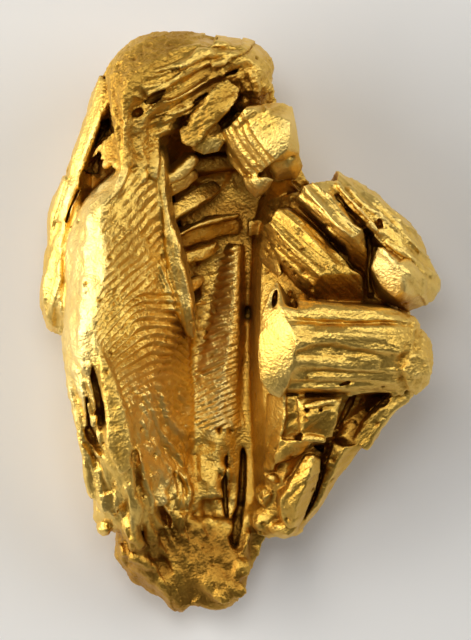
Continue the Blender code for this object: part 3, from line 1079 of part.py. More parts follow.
def native_gold():
    material = bpy.data.materials.new("native_gold")
    material.use_nodes = True
    shader = material.node_tree.nodes["Principled BSDF"]
    shader.inputs["Base Color"].default_value = (0.83, 0.53, 0.14, 1.0)
    shader.inputs["Metallic"].default_value = 1.0
    shader.inputs["Roughness"].default_value = 0.4
    return material


def voxel_remesh(obj, size):
    fuse = obj.modifiers.new("fuse", "REMESH")
    fuse.mode = "VOXEL"
    fuse.voxel_size = size


def subtract(obj, cutter, name, solver):
    cut = obj.modifiers.new(name, "BOOLEAN")
    cut.operation = "DIFFERENCE"
    cut.object = cutter
    cut.solver = solver


def floor_cutter():
    """Everything below the resting plane."""
    bm = bmesh.new()
    bmesh.ops.create_cube(bm, size=2)
    mesh = bpy.data.meshes.new("below_rest_plane")
    bm.to_mesh(mesh)
    bm.free()
    half = GRID_LENGTH
    mesh.transform(Matrix.Diagonal((half, half, 4, 1)))
    mesh.transform(Matrix.Translation((0, 0, REST_CUT - 4)))
    mesh.transform(Matrix.Scale(UNIT, 4))
    return bpy.data.objects.new("below_rest_plane", mesh)


def build():
    clear_scene()
    for group in (
        back,
        rest_faces,
        back_crystals,
        column,
        ribs,
        left_wing,
        left_layers,
        crown,
        crown_details,
        centre_block,
        right_mass,
        right_crystals,
        lower_block,
        lower_cluster,
        tail,
        slots,
    ):
        group()
    parts = bpy.data.collections.new("gold_nugget")
    cutters = bpy.data.collections.new("cutters")
    bpy.context.scene.collection.children.link(parts)
    bpy.context.scene.collection.children.link(cutters)

    nugget = joined("gold_nugget", FORMS)
    slot_cutter = joined("slots_and_pits", CUTTERS)
    below = floor_cutter()
    parts.objects.link(nugget)
    for cutter in (slot_cutter, below):
        cutters.objects.link(cutter)
        cutter.display_type = "WIRE"
        cutter.hide_render = True
    voxel_remesh(slot_cutter, VOXEL / 2)

    voxel_remesh(nugget, VOXEL)
    subtract(nugget, slot_cutter, "slots", "EXACT")
    voxel_remesh(nugget, VOXEL)
    ease = nugget.modifiers.new("ease", "DECIMATE")
    ease.ratio = RATIO
    subtract(nugget, below, "rest_plane", "EXACT")
    nugget.data.materials.append(native_gold())


build()
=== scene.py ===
"""A crystalline gold nugget on a plain pale floor, seen from straight above.

The nugget's forms are the ones of its solid, fused on a finer grid, with the growth steps,
striations, granular crust and pits of the real surface laid over them as relief.
"""

import math
import random
from functools import partial

import bmesh
import bpy
import numpy as np
from mathutils import Matrix, Vector, noise
from mathutils.bvhtree import BVHTree


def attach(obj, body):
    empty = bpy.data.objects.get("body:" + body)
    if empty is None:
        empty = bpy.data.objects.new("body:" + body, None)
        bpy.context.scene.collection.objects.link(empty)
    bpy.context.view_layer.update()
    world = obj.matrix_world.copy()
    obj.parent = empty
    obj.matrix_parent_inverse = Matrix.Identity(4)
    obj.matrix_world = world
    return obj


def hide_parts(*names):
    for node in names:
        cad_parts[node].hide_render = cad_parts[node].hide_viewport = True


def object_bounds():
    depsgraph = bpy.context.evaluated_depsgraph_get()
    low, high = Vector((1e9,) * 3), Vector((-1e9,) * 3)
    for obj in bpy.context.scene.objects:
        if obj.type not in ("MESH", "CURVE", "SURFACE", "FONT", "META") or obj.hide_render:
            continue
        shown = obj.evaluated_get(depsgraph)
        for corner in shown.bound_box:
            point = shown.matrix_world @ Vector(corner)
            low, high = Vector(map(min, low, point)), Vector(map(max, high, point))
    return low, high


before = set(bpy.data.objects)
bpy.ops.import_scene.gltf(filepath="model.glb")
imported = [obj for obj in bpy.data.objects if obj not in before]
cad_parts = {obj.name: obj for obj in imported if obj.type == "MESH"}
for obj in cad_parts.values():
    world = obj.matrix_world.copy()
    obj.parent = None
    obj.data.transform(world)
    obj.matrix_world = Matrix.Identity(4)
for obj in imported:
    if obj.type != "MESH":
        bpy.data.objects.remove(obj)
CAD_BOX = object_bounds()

# The same driving dimensions as the solid. The forms are in grid units, ten pixels of the photo each.
LENGTH = 0.02625  # along Y, metres
GRID_LENGTH = 58.33  # the same length in grid units
UNIT = LENGTH / GRID_LENGTH
ORIGIN = (-0.060, -0.247)

CELL = 0.13 * UNIT  # the remesh's cell
CUT_CELL = 0.15 * UNIT  # the same for what is cut out
TRIANGLES = 190000
RAYS = 14  # from each vertex, to find how deep it lies
REACH = 14.0  # their length, grid units
RAY_START = 0.06  # how far above the surface they start
GOLDEN_ANGLE = 2.39996  # from one ray to the next, radians
WEAR = 30  # passes that soften the worn edges
WEAR_SHARE = 0.6  # how far each pass moves a point, where the edges are worn most

RUNGS = 24  # on the strip in the hollow
RUNG_STEP = 0.78
CENTRE_STEPS = 5  # on the left side of the centre block
BACK_CRYSTALS = 46  # small crystals that cover the back
BACK_START, BACK_LENGTH = -24, 47  # where they begin along Y, and how far they go
BAR_ENDS = 0.55  # a bar's size at its two ends, as a share of the size between them
BAR_WAVER = 0.22  # how uneven a bar's sides are
LUMP_SCALE = 0.6  # the size of a lump's bulges, as a share of its radius

CAMERA_HEIGHT = 0.45  # metres
VIEW_LENGTH = 64  # grid units along Y that the photo shows ...
VIEW_LEVEL = 10  # ... at this height
VIEW_CENTRE = (-0.45, 0)
FLOOR_REACH = 0.6  # metres
LIT_POINT = (0, 0, 0.005)  # what the lights face
LIGHTS = [  # name, place, size, power and tint
    ("key", (-0.24, 0.02, 0.12), 0.24, 0.82, (1, 0.98, 0.94)),
    ("top", (-0.02, 0.1, 0.36), 0.14, 0.36, (1, 1, 1)),
    ("fill", (0.22, 0.08, 0.2), 0.2, 0.36, (1, 1, 1)),
]
PAINTED_GOLD_SHADING = [  # painted shading, from pale ridges and painted highlights to painted shade in the creases
    (0.00, (1.0, 0.78, 0.34)),
    (0.20, (1.0, 0.72, 0.22)),
    (0.40, (0.93, 0.62, 0.14)),
    (0.58, (0.72, 0.43, 0.07)),
    (0.80, (0.48, 0.245, 0.035)),
    (1.00, (0.34, 0.16, 0.02)),
]

FORMS = []
CUTTERS = []


# ---------------------------------------------------------------- tools


def curve_through(points, count):
    """count points at even steps of a Catmull-Rom curve through these points."""
    known = [Vector(p) for p in points]
    if len(known) == 2:
        return [known[0].lerp(known[1], i / (count - 1)) for i in range(count)]
    padded = [2 * known[0] - known[1], *known, 2 * known[-1] - known[-2]]
    found = []
    for i in range(count):
        place = i / (count - 1) * (len(known) - 1)
        k = min(int(place), len(known) - 2)
        t = place - k
        a, b, c, d = padded[k : k + 4]
        twice = 2 * b + (c - a) * t + (2 * a - 5 * b + 4 * c - d) * t * t + (3 * b - a - 3 * c + d) * t**3
        found.append(0.5 * twice)
    return found


def values_through(values, count):
    """The same for plain numbers; one number stands for a constant."""
    if not isinstance(values, (list, tuple)):
        return [values] * count
    return [p.x for p in curve_through([(v, 0, 0) for v in values], count)]


def in_frame(name, bm):
    """A mesh of this form, moved from grid units to metres with ORIGIN at the origin."""
    mesh = bpy.data.meshes.new(name)
    bm.to_mesh(mesh)
    bm.free()
    mesh.transform(Matrix.Scale(UNIT, 4) @ Matrix.Translation((-ORIGIN[0], -ORIGIN[1], 0)))
    return mesh


def keep(name, bm, cutter=False):
    """Stores a closed form with the others, or with what is cut out of them."""
    bmesh.ops.recalc_face_normals(bm, faces=bm.faces)
    (CUTTERS if cutter else FORMS).append(in_frame(name, bm))


def crystal(name, corners, cutter=False):
    """A convex crystal: the hull of its corners."""
    bm = bmesh.new()
    for corner in corners:
        bm.verts.new(corner)
    hull = bmesh.ops.convex_hull(bm, input=bm.verts)
    inner = [v for v in hull["geom_interior"] if isinstance(v, bmesh.types.BMVert)]
    bmesh.ops.delete(bm, geom=inner, context="VERTS")
    keep(name, bm, cutter)


def block(name, top, depth, shrink=0.85, shift=(0, 0)):
    """A crystal given by its upper face, which tapers downwards."""
    middle = sum((Vector(p) for p in top), Vector()) / len(top)
    foot = []
    for x, y, z in top:
        foot_x = middle.x + (x - middle.x) * shrink + shift[0]
        foot.append((foot_x, middle.y + (y - middle.y) * shrink + shift[1], z - depth))
    crystal(name, [*top, *foot])


def bar(name, path, width, depth, tilt=0, square=5.0, sides=12, cutter=False):
    """A ridge, rib or rod. The path is the middle of its upper face; tilt rolls it about the path."""
    count = 4 * len(path) + 1
    points = curve_through(path, count)
    widths, depths, tilts = (values_through(values, count) for values in (width, depth, tilt))
    bm = bmesh.new()
    rings = []
    for i, point in enumerate(points):
        ahead = (points[min(i + 1, count - 1)] - points[max(i - 1, 0)]).normalized()
        side = ahead.cross(Vector((0, 0, 1))).normalized()
        up = side.cross(ahead)
        roll = Matrix.Rotation(math.radians(tilts[i]), 3, ahead)
        side, up = roll @ side, roll @ up
        end = BAR_ENDS if i in (0, count - 1) else 1.0
        middle = point - up * depths[i] / 2
        ring = []
        for k in range(sides):
            angle = 2 * math.pi * (k + 0.5) / sides
            c, s = math.cos(angle), math.sin(angle)
            uneven = end * (1 + BAR_WAVER * noise.noise(point * 0.8 + Vector((c, s, 0)) * 0.7))
            across = math.copysign(abs(c) ** (2 / square), c) * widths[i] / 2 * uneven
            above = math.copysign(abs(s) ** (2 / square), s) * depths[i] / 2 * end
            ring.append(bm.verts.new(middle + side * across + up * above))
        rings.append(ring)
    for first, second in zip(rings, rings[1:]):
        for k in range(sides):
            bm.faces.new((first[k], first[(k + 1) % sides], second[(k + 1) % sides], second[k]))
    bm.faces.new(rings[0][::-1])
    bm.faces.new(rings[-1])
    keep(name, bm, cutter)


def lump(name, centre, radii, turn=0, rough=0.25, cutter=False):
    """An uneven lump with flat faces."""
    bm = bmesh.new()
    bmesh.ops.create_icosphere(bm, subdivisions=2, radius=1)
    rotation = Matrix.Rotation(math.radians(turn), 3, "Z")
    for vert in bm.verts:
        direction = vert.co.normalized()
        swell = 1 + rough * noise.noise(direction / LUMP_SCALE + Vector(centre))
        size = Vector((direction.x * radii[0], direction.y * radii[1], direction.z * radii[2]))
        vert.co = Vector(centre) + rotation @ size * swell
    keep(name, bm, cutter)


def skin(bm, rails, along, between):
    """An open grid of faces through the rails; returns its rows of vertices."""
    lines = [curve_through(rail, along) for rail in rails]
    grid = []
    for i in range(along):
        row = []
        for j in range(len(lines) - 1):
            for step in range(between):
                row.append(bm.verts.new(lines[j][i].lerp(lines[j + 1][i], step / between)))
        row.append(bm.verts.new(lines[-1][i]))
        grid.append(row)
    for first, second in zip(grid, grid[1:]):
        for k in range(len(first) - 1):
            bm.faces.new((first[k], first[k + 1], second[k + 1], second[k]))
    return grid


def mound(name, rails, base, along=30, between=3, shrink=0.86, toward=None):
    """A solid mass: its upper face passes through the rails, and it narrows to a flat foot at base."""
    bm = bmesh.new()
    grid = skin(bm, rails, along, between)
    middle = sum((v.co for row in grid for v in row), Vector()) / (len(grid) * len(grid[0]))
    middle = Vector(toward) if toward else middle.xy
    rim = [*grid[0], *[row[-1] for row in grid[1:]], *grid[-1][-2::-1], *[row[0] for row in grid[-2:0:-1]]]
    foot = []
    for vert in rim:
        x, y = middle + (vert.co.xy - middle) * shrink
        foot.append(bm.verts.new((x, y, base)))
    for k in range(len(rim)):
        bm.faces.new((rim[k], rim[(k + 1) % len(rim)], foot[(k + 1) % len(rim)], foot[k]))
    bmesh.ops.triangulate(bm, faces=[bm.faces.new(foot)])
    keep(name, bm)


def plate(name, rails, thickness):
    """A curved plate: its upper face passes through the rails."""
    bm = bmesh.new()
    skin(bm, rails, 30, 4)
    bmesh.ops.recalc_face_normals(bm, faces=bm.faces)
    if sum(face.normal.z for face in bm.faces) < 0:
        bmesh.ops.reverse_faces(bm, faces=bm.faces)
    shell = shown(name, in_frame(name, bm))
    solidify = shell.modifiers.new("thickness", "SOLIDIFY")
    solidify.thickness = thickness * UNIT
    solidify.offset = -1
    graph = bpy.context.evaluated_depsgraph_get()
    FORMS.append(bpy.data.meshes.new_from_object(shell.evaluated_get(graph)))
    bpy.data.objects.remove(shell)


def shown(name, data):
    """An object with this mesh, light or camera, in the scene."""
    obj = bpy.data.objects.new(name, data)
    bpy.context.scene.collection.objects.link(obj)
    return obj


# ---------------------------------------------------------------- the back and the hollow


def back():
    """The hull under everything: a boat-shaped shell whose inside is the floor of the hollow."""
    left = [(-8.6, 24, 11), (-11.4, 18.6, 11), (-13.2, 11, 10.5), (-14.2, 3, 9.6), (-13.6, -6, 9.6),
        (-11.9, -13, 9), (-9.6, -19.4, 8), (-6.4, -24.4, 6.4)]
    left_foot = [(-7, 24.6, 6.6), (-9.6, 18, 4), (-9.6, 10, 3.3), (-9, 2, 3.2), (-9.4, -6, 3.5),
        (-8.8, -13, 3.8), (-7.6, -20, 4.4), (-5.4, -25, 4.8)]
    keel = [(-4, 25, 6.4), (-4, 18, 3.7), (-3, 10, 3.3), (-2.5, 2, 3.1), (-2, -6, 3.3), (-2, -13, 3.6),
        (-3, -20, 4.3), (-4, -25.6, 4.8)]
    right_foot = [(-1, 24.4, 7.6), (0.8, 18, 4.6), (4, 10.4, 3.9), (8.2, 2.4, 3.7), (8.2, -6, 3.7),
        (5.2, -12.8, 4), (0, -19, 4.5), (-2.6, -25, 4.8)]
    right = [(0.4, 23, 11), (1.4, 18, 10.4), (5.4, 11, 9), (13.4, 3.4, 8.6), (13.4, -4.6, 9), (8, -12, 8.6),
        (1.4, -18.4, 7.6), (-1.6, -24, 6.4)]
    plate("hull", [left, left_foot, keel, right_foot, right], 3)


def rest_faces():
    """The largest crystals of the back. Where they reach the resting plane, they end flat in it."""
    block("rest_crown", [(-10, 23, 8), (-3, 26, 8), (2.6, 20, 8), (-2, 13, 7), (-9, 13.6, 6), (-13, 17, 8)],
        8.3, 0.5, (0.4, -0.8))
    block("rest_left", [(-15.4, 11, 8), (-9, 13, 7), (-3.6, 6, 6), (-7.6, -5, 6), (-14.8, -3, 8)],
        8.3, 0.46, (0.8, -0.4))
    block("rest_right", [(1.4, 8, 6), (9.6, 11, 8), (15.8, 4.4, 8), (13, -6.6, 8), (8.4, -8.6, 7),
        (1.6, -5, 6)], 8.3, 0.5, (-0.6, 0.4))
    block("rest_tail", [(-11, -13, 7), (-4, -8.6, 6), (3, -12, 7), (1.4, -21.6, 6.6), (-7, -25.6, 6)],
        7.3, 0.5, (0.2, 1.2))
    block("back_1", [(-8, 17, 7), (-1, 19, 7), (5, 13, 7), (3.4, 3, 6), (-3, -1, 6)], 6.5, 0.55, (0.6, -1))
    block("back_2", [(-11, -3, 7), (-3, 3, 6), (3.6, -2, 6), (4, -13, 7), (-9, -13, 7)],
        6.3, 0.55, (-0.6, 0.6))
    block("back_3", [(4, -6, 7), (12, -6, 8), (10.6, -12, 8), (3, -18, 7), (0.6, -12, 6)], 6.2, 0.55)


def underside(x, y):
    """Height of the back at this point: low along the middle, and rising to the outline."""
    across = (x + 2 - 0.06 * y) / (17.5 - 0.012 * (y - 2) ** 2 * (1 if y < 2 else 0.7))
    along = y / 29
    return 0.5 + 7.4 * min(1.2, across * across + along**4 * 0.8) ** 1.15


def back_crystals():
    """Small flat-faced crystals that overlap all over the back, in growth order."""
    chance = random.Random(11)
    left = values_through([-5, -8, -10.4, -11.6, -13, -13.6, -12.6, -10.4, -7.4], BACK_CRYSTALS)
    right = values_through([-2.4, 0.4, 4.6, 8.6, 11.4, 10.6, 2.6, -1, -3], BACK_CRYSTALS)
    for k in range(BACK_CRYSTALS):
        y = BACK_START + BACK_LENGTH * (k + 0.5) / BACK_CRYSTALS
        share = 0.5 + 0.5 * math.sin(2.4 * k) * chance.uniform(0.6, 1)
        x = left[k] + (right[k] - left[k]) * share
        z = underside(x, y) + 1.5
        long, wide, thick = chance.uniform(2.2, 4.6), chance.uniform(1.3, 2.6), chance.uniform(1.5, 2.1)
        spin = Matrix.Rotation(chance.uniform(-0.5, 0.5), 3, "Z")
        turn = spin @ Matrix.Rotation(-0.045 * (x + 2), 3, "Y")
        corners = []
        for sx, sy in ((-1, -0.6), (-0.7, 0.8), (0, 1), (0.8, 0.7), (1, -0.5), (0.1, -1)):
            corners.append(Vector((sx * wide, sy * long, 1)))
            bevel = chance.uniform(0.45, 0.8)
            corners.append(Vector((sx * wide * bevel, sy * long * bevel, -thick)))
        crystal(f"back_crystal_{k}", [turn @ corner + Vector((x, y, z)) for corner in corners])


def column():
    """The ladder-like strip on the floor of the hollow, with its rungs."""
    left = [(-1.5, 7.6, 6.2), (-2.1, 4, 6.4), (-2.8, 0, 6.4), (-3.8, -4, 6.6), (-5.2, -8.5, 7),
        (-5.6, -13, 7), (-5.6, -18, 7.2)]
    ridge = [(-0.6, 7.6, 7.5), (-0.8, 4, 7.8), (-1, 0, 7.9), (-1.4, -4, 8), (-2, -8.5, 8), (-2.4, -13, 7.8),
        (-2.8, -18, 7.8)]
    cleft = [(-0.2, 7.6, 7.6), (-0.4, 4, 7.9), (-0.55, 0, 7.9), (-0.8, -4, 7.8), (-1.2, -8.5, 7.8),
        (-1.6, -13, 7.6), (-2, -18, 7.6)]
    crest = [(0.1, 7.6, 7.5), (0, 4, 7.7), (0, 0, 7.7), (-0.2, -4, 7.6), (-0.4, -8.5, 7.5),
        (-0.8, -13, 7.3), (-1.2, -18, 7.1)]
    right = [(0.6, 7.6, 6), (0.5, 4, 6), (0.5, 0, 6), (0.4, -4, 6), (0.2, -8.5, 6), (-0.1, -13, 6),
        (-0.5, -18, 6.2)]
    mound("column", [left, ridge, cleft, crest, right], 2)
    block("column_head", [(0.9, 10, 9.4), (2.2, 10.1, 9), (2.2, 8.3, 8.6), (0.9, 8.4, 9)], 6)
    for k in range(RUNGS):
        y = 7.2 - k * RUNG_STEP
        reach = 1.3 + 0.2 * k
        path = [(-reach - 0.4, y - 0.36 * reach, 6.6 + 0.03 * k), (-0.9 - 0.05 * k, y - 0.15, 7.8)]
        bar(f"rung_{k}", [*path, (0.1, y + 0.15, 7.35)], 0.5, 1, sides=6)


def ribs():
    """Shelves that bridge the deep part of the hollow, one above another."""
    bar("rib_1", [(-7.2, 10.3, 11.6), (-5.4, 11.7, 11.4), (-3.8, 12.7, 10.8), (-1.9, 13.7, 9.4)],
        [1.3, 1.7, 1.7, 1.3], 1.5, tilt=-14, square=9)
    bar("rib_2", [(-6.6, 8.2, 11.4), (-4.6, 9.3, 10.8), (-2.4, 10, 10.2), (0.4, 10.6, 9)],
        [0.35, 0.5, 0.6, 0.4], [3, 4, 4.6, 3.6])
    bar("rib_2_face", [(-6.4, 7.6, 9.6), (-4.4, 8.2, 9.2), (-2, 9, 8.6), (0.4, 9.4, 7.6)],
        [1.5, 1.6, 1.6, 1.4], 2.4, tilt=22, square=9)
    bar("rib_3", [(-6.4, 5.9, 10.2), (-4.8, 6.3, 10), (-3.4, 6.7, 9.6), (-1.9, 7.7, 8.4)],
        [1, 1.1, 1.3, 0.9], 1.6, tilt=10, square=9)
    for k in range(5):
        x = -4.2 + 0.42 * k
        ends = [(x - 0.15, 6.1 + 0.2 * k, 9.9 - 0.1 * k), (x + 0.15, 7.1 + 0.2 * k, 9.9 - 0.12 * k)]
        bar(f"rib_3_tooth_{k}", ends, 0.24, 1, sides=6)
    bar("rib_4", [(-5.8, 3.1, 10), (-4.6, 3.5, 9.8), (-3.4, 4.3, 9)],
        [0.8, 1.3, 0.9], 1.4, tilt=14, square=9)
    bar("rib_5", [(-5.4, 1.2, 9.6), (-4.2, 1.65, 9.2), (-3, 1.8, 8.4)], [0.3, 0.45, 0.3], 1.6)
    bar("rib_shelf", [(-7.8, 12.3, 13), (-5.8, 13.5, 12.4), (-4, 14.8, 11.6)],
        [1, 1.5, 1], 2, tilt=25, square=9)
    bar("rib_back", [(-6.4, 15, 9.4), (-3.4, 15.6, 8.8), (0.4, 16, 8)], 2, 4)


# ---------------------------------------------------------------- the left side


def left_wing():
    """The thick left wall: worn outside, sharp rim, and an inner face that runs down into the hollow."""
    foot = [(-11.8, 15.6, 12), (-14.2, 13.6, 9), (-16, 11.6, 8.5), (-17.4, 8.6, 8), (-17.6, 5, 8),
        (-17.6, 1, 8), (-17.7, -3, 8), (-17, -7, 8.5), (-15.7, -11, 8.5), (-14.4, -16, 8), (-12, -21, 7)]
    outer = [(-11.6, 15.4, 16.4), (-14, 13.2, 16.6), (-15.6, 11.2, 17), (-17, 8, 16.8), (-17.2, 5, 17),
        (-17.3, 1, 17.4), (-17.5, -3, 17.6), (-16.7, -7, 17.2), (-15.5, -10.5, 16), (-14, -15.5, 14),
        (-12, -21, 10)]
    swell = [(-11.5, 15, 18.2), (-13, 13, 19), (-14.7, 11.2, 19.6), (-15.3, 8.3, 20.1), (-15.4, 5, 20.6),
        (-15.7, 1, 20.8), (-16, -2.4, 20.5), (-15.7, -6, 19.6), (-14.8, -10.5, 18), (-13.6, -15.5, 15.6),
        (-11.6, -21, 10.6)]
    rim = [(-11.3, 14.8, 18.8), (-12.3, 12.7, 19.8), (-13.7, 11, 20.6), (-13.6, 8.2, 21.2),
        (-13.3, 5, 21.6), (-14.1, 1.2, 21.7), (-14.3, -1.5, 21.4), (-13.4, -5, 20.8), (-12.2, -10, 19.6),
        (-11.6, -15, 17.4), (-9.6, -21, 11)]
    middle = [(-10.2, 14.8, 18), (-10.8, 12.7, 18.6), (-11.2, 11, 18.8), (-11.2, 8.2, 19), (-10.9, 5, 19),
        (-11, 1.2, 18.6), (-11, -1.5, 18), (-10.4, -5, 17), (-9.6, -10, 15.2), (-9.2, -15, 13.2),
        (-7.6, -21, 9.6)]
    seam = [(-8.6, 14.8, 16.8), (-8.2, 12.7, 16.2), (-8, 11, 15.8), (-8, 8.2, 15.4), (-7.6, 5, 15.2),
        (-7, 1.2, 14.6), (-6.7, -1.5, 13.8), (-6.8, -5, 12.2), (-6.4, -10, 10.4), (-6.2, -15, 9.2),
        (-5, -21, 8)]
    edge = [(-7.8, 14.8, 15.6), (-7.4, 12.7, 14.6), (-7, 11, 14), (-6.6, 8.2, 13.6), (-5.9, 5, 13),
        (-5.3, 1.2, 12), (-5.2, -1.5, 10.6), (-5.2, -5, 8.6), (-4.8, -10, 7.8), (-4.6, -15, 7.4),
        (-3.4, -21, 7)]
    mound("wing", [foot, outer, swell, rim, middle, seam, edge], 2.8, along=56, between=4, shrink=0.72,
        toward=(-3, -1))
    bar("blade", [(-7.9, 17, 16.6), (-7.7, 13.4, 16.2), (-7.4, 10.6, 16), (-6.9, 8, 15.8),
        (-6.5, 5.6, 15.4), (-5.9, 2.4, 14.6), (-5.3, -0.2, 13.6), (-4.6, -2.4, 11)],
        [0.7, 0.8, 0.9, 1.5, 1.9, 1.9, 1.6, 0.7], 3.4, tilt=8)
    bar("lower_rim", [(-13.8, -3.2, 21.4), (-13.1, -6, 21.2), (-12.3, -9, 20.8), (-12, -12.4, 20),
        (-11.5, -15.8, 18)], [0.5, 1.5, 2.1, 2.7, 0.6], 3.4)
    bar("rim_joint", [(-13.4, 11.4, 20.4), (-12.1, 13, 19.9), (-11.5, 14.8, 19.4), (-11.7, 16.8, 19.2),
        (-12.1, 19.2, 19.2), (-12.4, 21.4, 19), (-12.9, 23.4, 18.4)], [0.3, 0.9, 1, 0.9, 0.8, 0.8, 0.4], 4)
    bar("inner_fold", [(-8.4, 5.7, 16), (-7.7, 4.2, 15.6), (-7.1, 2.4, 15.2), (-6.7, 0.8, 14.8)],
        [0.5, 1, 1, 0.5], 1.6)


def left_layers():
    """Thin sheets that overlap on the outside of the left wall."""
    low = [(-14, 24.4, 9), (-14.9, 22.2, 9), (-16, 18.6, 8.6), (-17.4, 14.8, 8), (-19, 11.4, 7.6),
        (-19.2, 8, 7), (-19.8, 4.6, 6.6), (-20.1, 1.8, 6.6), (-19.2, -0.8, 7), (-17.8, -1.7, 7.4)]
    out = [(-13.8, 24.2, 12.6), (-14.6, 22, 13), (-15.7, 18.6, 13), (-17.1, 14.8, 12.8),
        (-18.6, 11.3, 12.4), (-18.9, 8, 12), (-19.5, 4.6, 12), (-19.7, 1.8, 11.8), (-18.9, -0.5, 10.2),
        (-17.7, -1.4, 9.8)]
    inn = [(-12.6, 22.8, 15), (-13.6, 20.8, 14.6), (-14.7, 18, 14.2), (-15.9, 14.8, 13.8),
        (-16.9, 11.4, 13.8), (-17.7, 8.4, 13.6), (-17.9, 5, 13.6), (-17.9, 2.4, 13.4), (-17.6, 0.6, 12.6),
        (-17.2, -0.4, 11)]
    root = [(-12.2, 22.6, 14), (-13.1, 20.6, 13), (-14.1, 17.8, 11), (-15.2, 14.6, 11), (-16, 11.4, 13.4),
        (-17, 8.6, 13.4), (-17.3, 5, 13.4), (-17.3, 2.4, 13.2), (-17, 0.6, 12.4), (-16.8, -0.2, 11)]
    mound("outer_sheet", [low, out, inn, root], 4, along=40, shrink=0.8, toward=(-3, 5))
    crystal("web", [(-12, 18.8, 17), (-12.6, 18.6, 16.4), (-14.5, 17.1, 14.4), (-14.8, 16.2, 14),
        (-13.8, 17, 15), (-13.4, 16, 15.4), (-12.2, 15.8, 16.6), (-11.8, 17, 17.2), (-13, 17.4, 11),
        (-14, 16.8, 11), (-12, 17, 11)])
    bar("web_low", [(-11.8, 15.2, 18), (-12.8, 15.7, 16.4), (-13.6, 15.2, 15)], [0.9, 1, 0.6], 3)
    bar("low_sheet", [(-16.9, -3.4, 17.2), (-16.7, -6.4, 17.4), (-16, -10, 16.8), (-15.3, -13, 15.8),
        (-14.9, -16, 14.4), (-14.4, -18.2, 12.8)], [0.9, 1.3, 1.2, 1.3, 1.5, 1.3], 5, tilt=4)
    bar("low_blade", [(-15.3, -4.4, 19), (-14.9, -8, 18), (-14.4, -11, 17), (-14.1, -13.2, 16)],
        0.4, 3, sides=8)
    bar("low_blade_2", [(-15.6, -6.4, 18), (-15.5, -9, 17.2), (-15, -12, 16.4)], 0.3, 2.4, sides=8)
    crystal("low_block", [(-15.2, -14.6, 13.4), (-14.8, -17.8, 11), (-14.5, -20, 9.6), (-13.8, -21.1, 8.4),
        (-12.2, -21.3, 8.4), (-11.2, -20.6, 10.6), (-11.2, -17, 13.6), (-12.4, -14.6, 15.6),
        (-14.4, -15, 15), (-13.9, -18, 13.8), (-13.3, -19.8, 12.2), (-12.4, -20.3, 11.8), (-14.4, -18, 5),
        (-12, -20.8, 5), (-12, -16, 6)])
    crystal("low_facet", [(-14, -17.6, 14.2), (-13.6, -19, 13.4), (-12.6, -19.6, 12.8),
        (-11.8, -18.4, 13.8), (-12.4, -17, 14.8), (-13.2, -18.4, 9)])
    lump("low_knob", (-13.3, -20.6, 9.6), (1.1, 0.8, 1.4), 20)
    bar("fold", [(-11.1, -14, 17.8), (-10.9, -16.6, 16.4), (-10.7, -19, 14.6), (-10.6, -21.4, 12.4),
        (-10, -23.2, 9.8), (-9.4, -24.8, 7.2)], [0.6, 1.1, 1.3, 1.5, 1.1, 0.8], 5, square=9)
    bar("fold_edge", [(-10, -13.4, 16.8), (-9.5, -16, 15), (-8.9, -18.2, 13.2), (-8.4, -19.8, 11.6),
        (-8, -21.4, 9.2)], [0.4, 0.8, 0.9, 0.6, 0.4], 4, square=9)
    bar("fold_low", [(-9.8, -17.6, 14), (-9.4, -20, 12.2), (-8.6, -22, 10), (-7.6, -24, 8),
        (-6.8, -25.6, 6)], [0.5, 0.9, 1.1, 1, 0.7], 4, square=9)


# ---------------------------------------------------------------- the crown


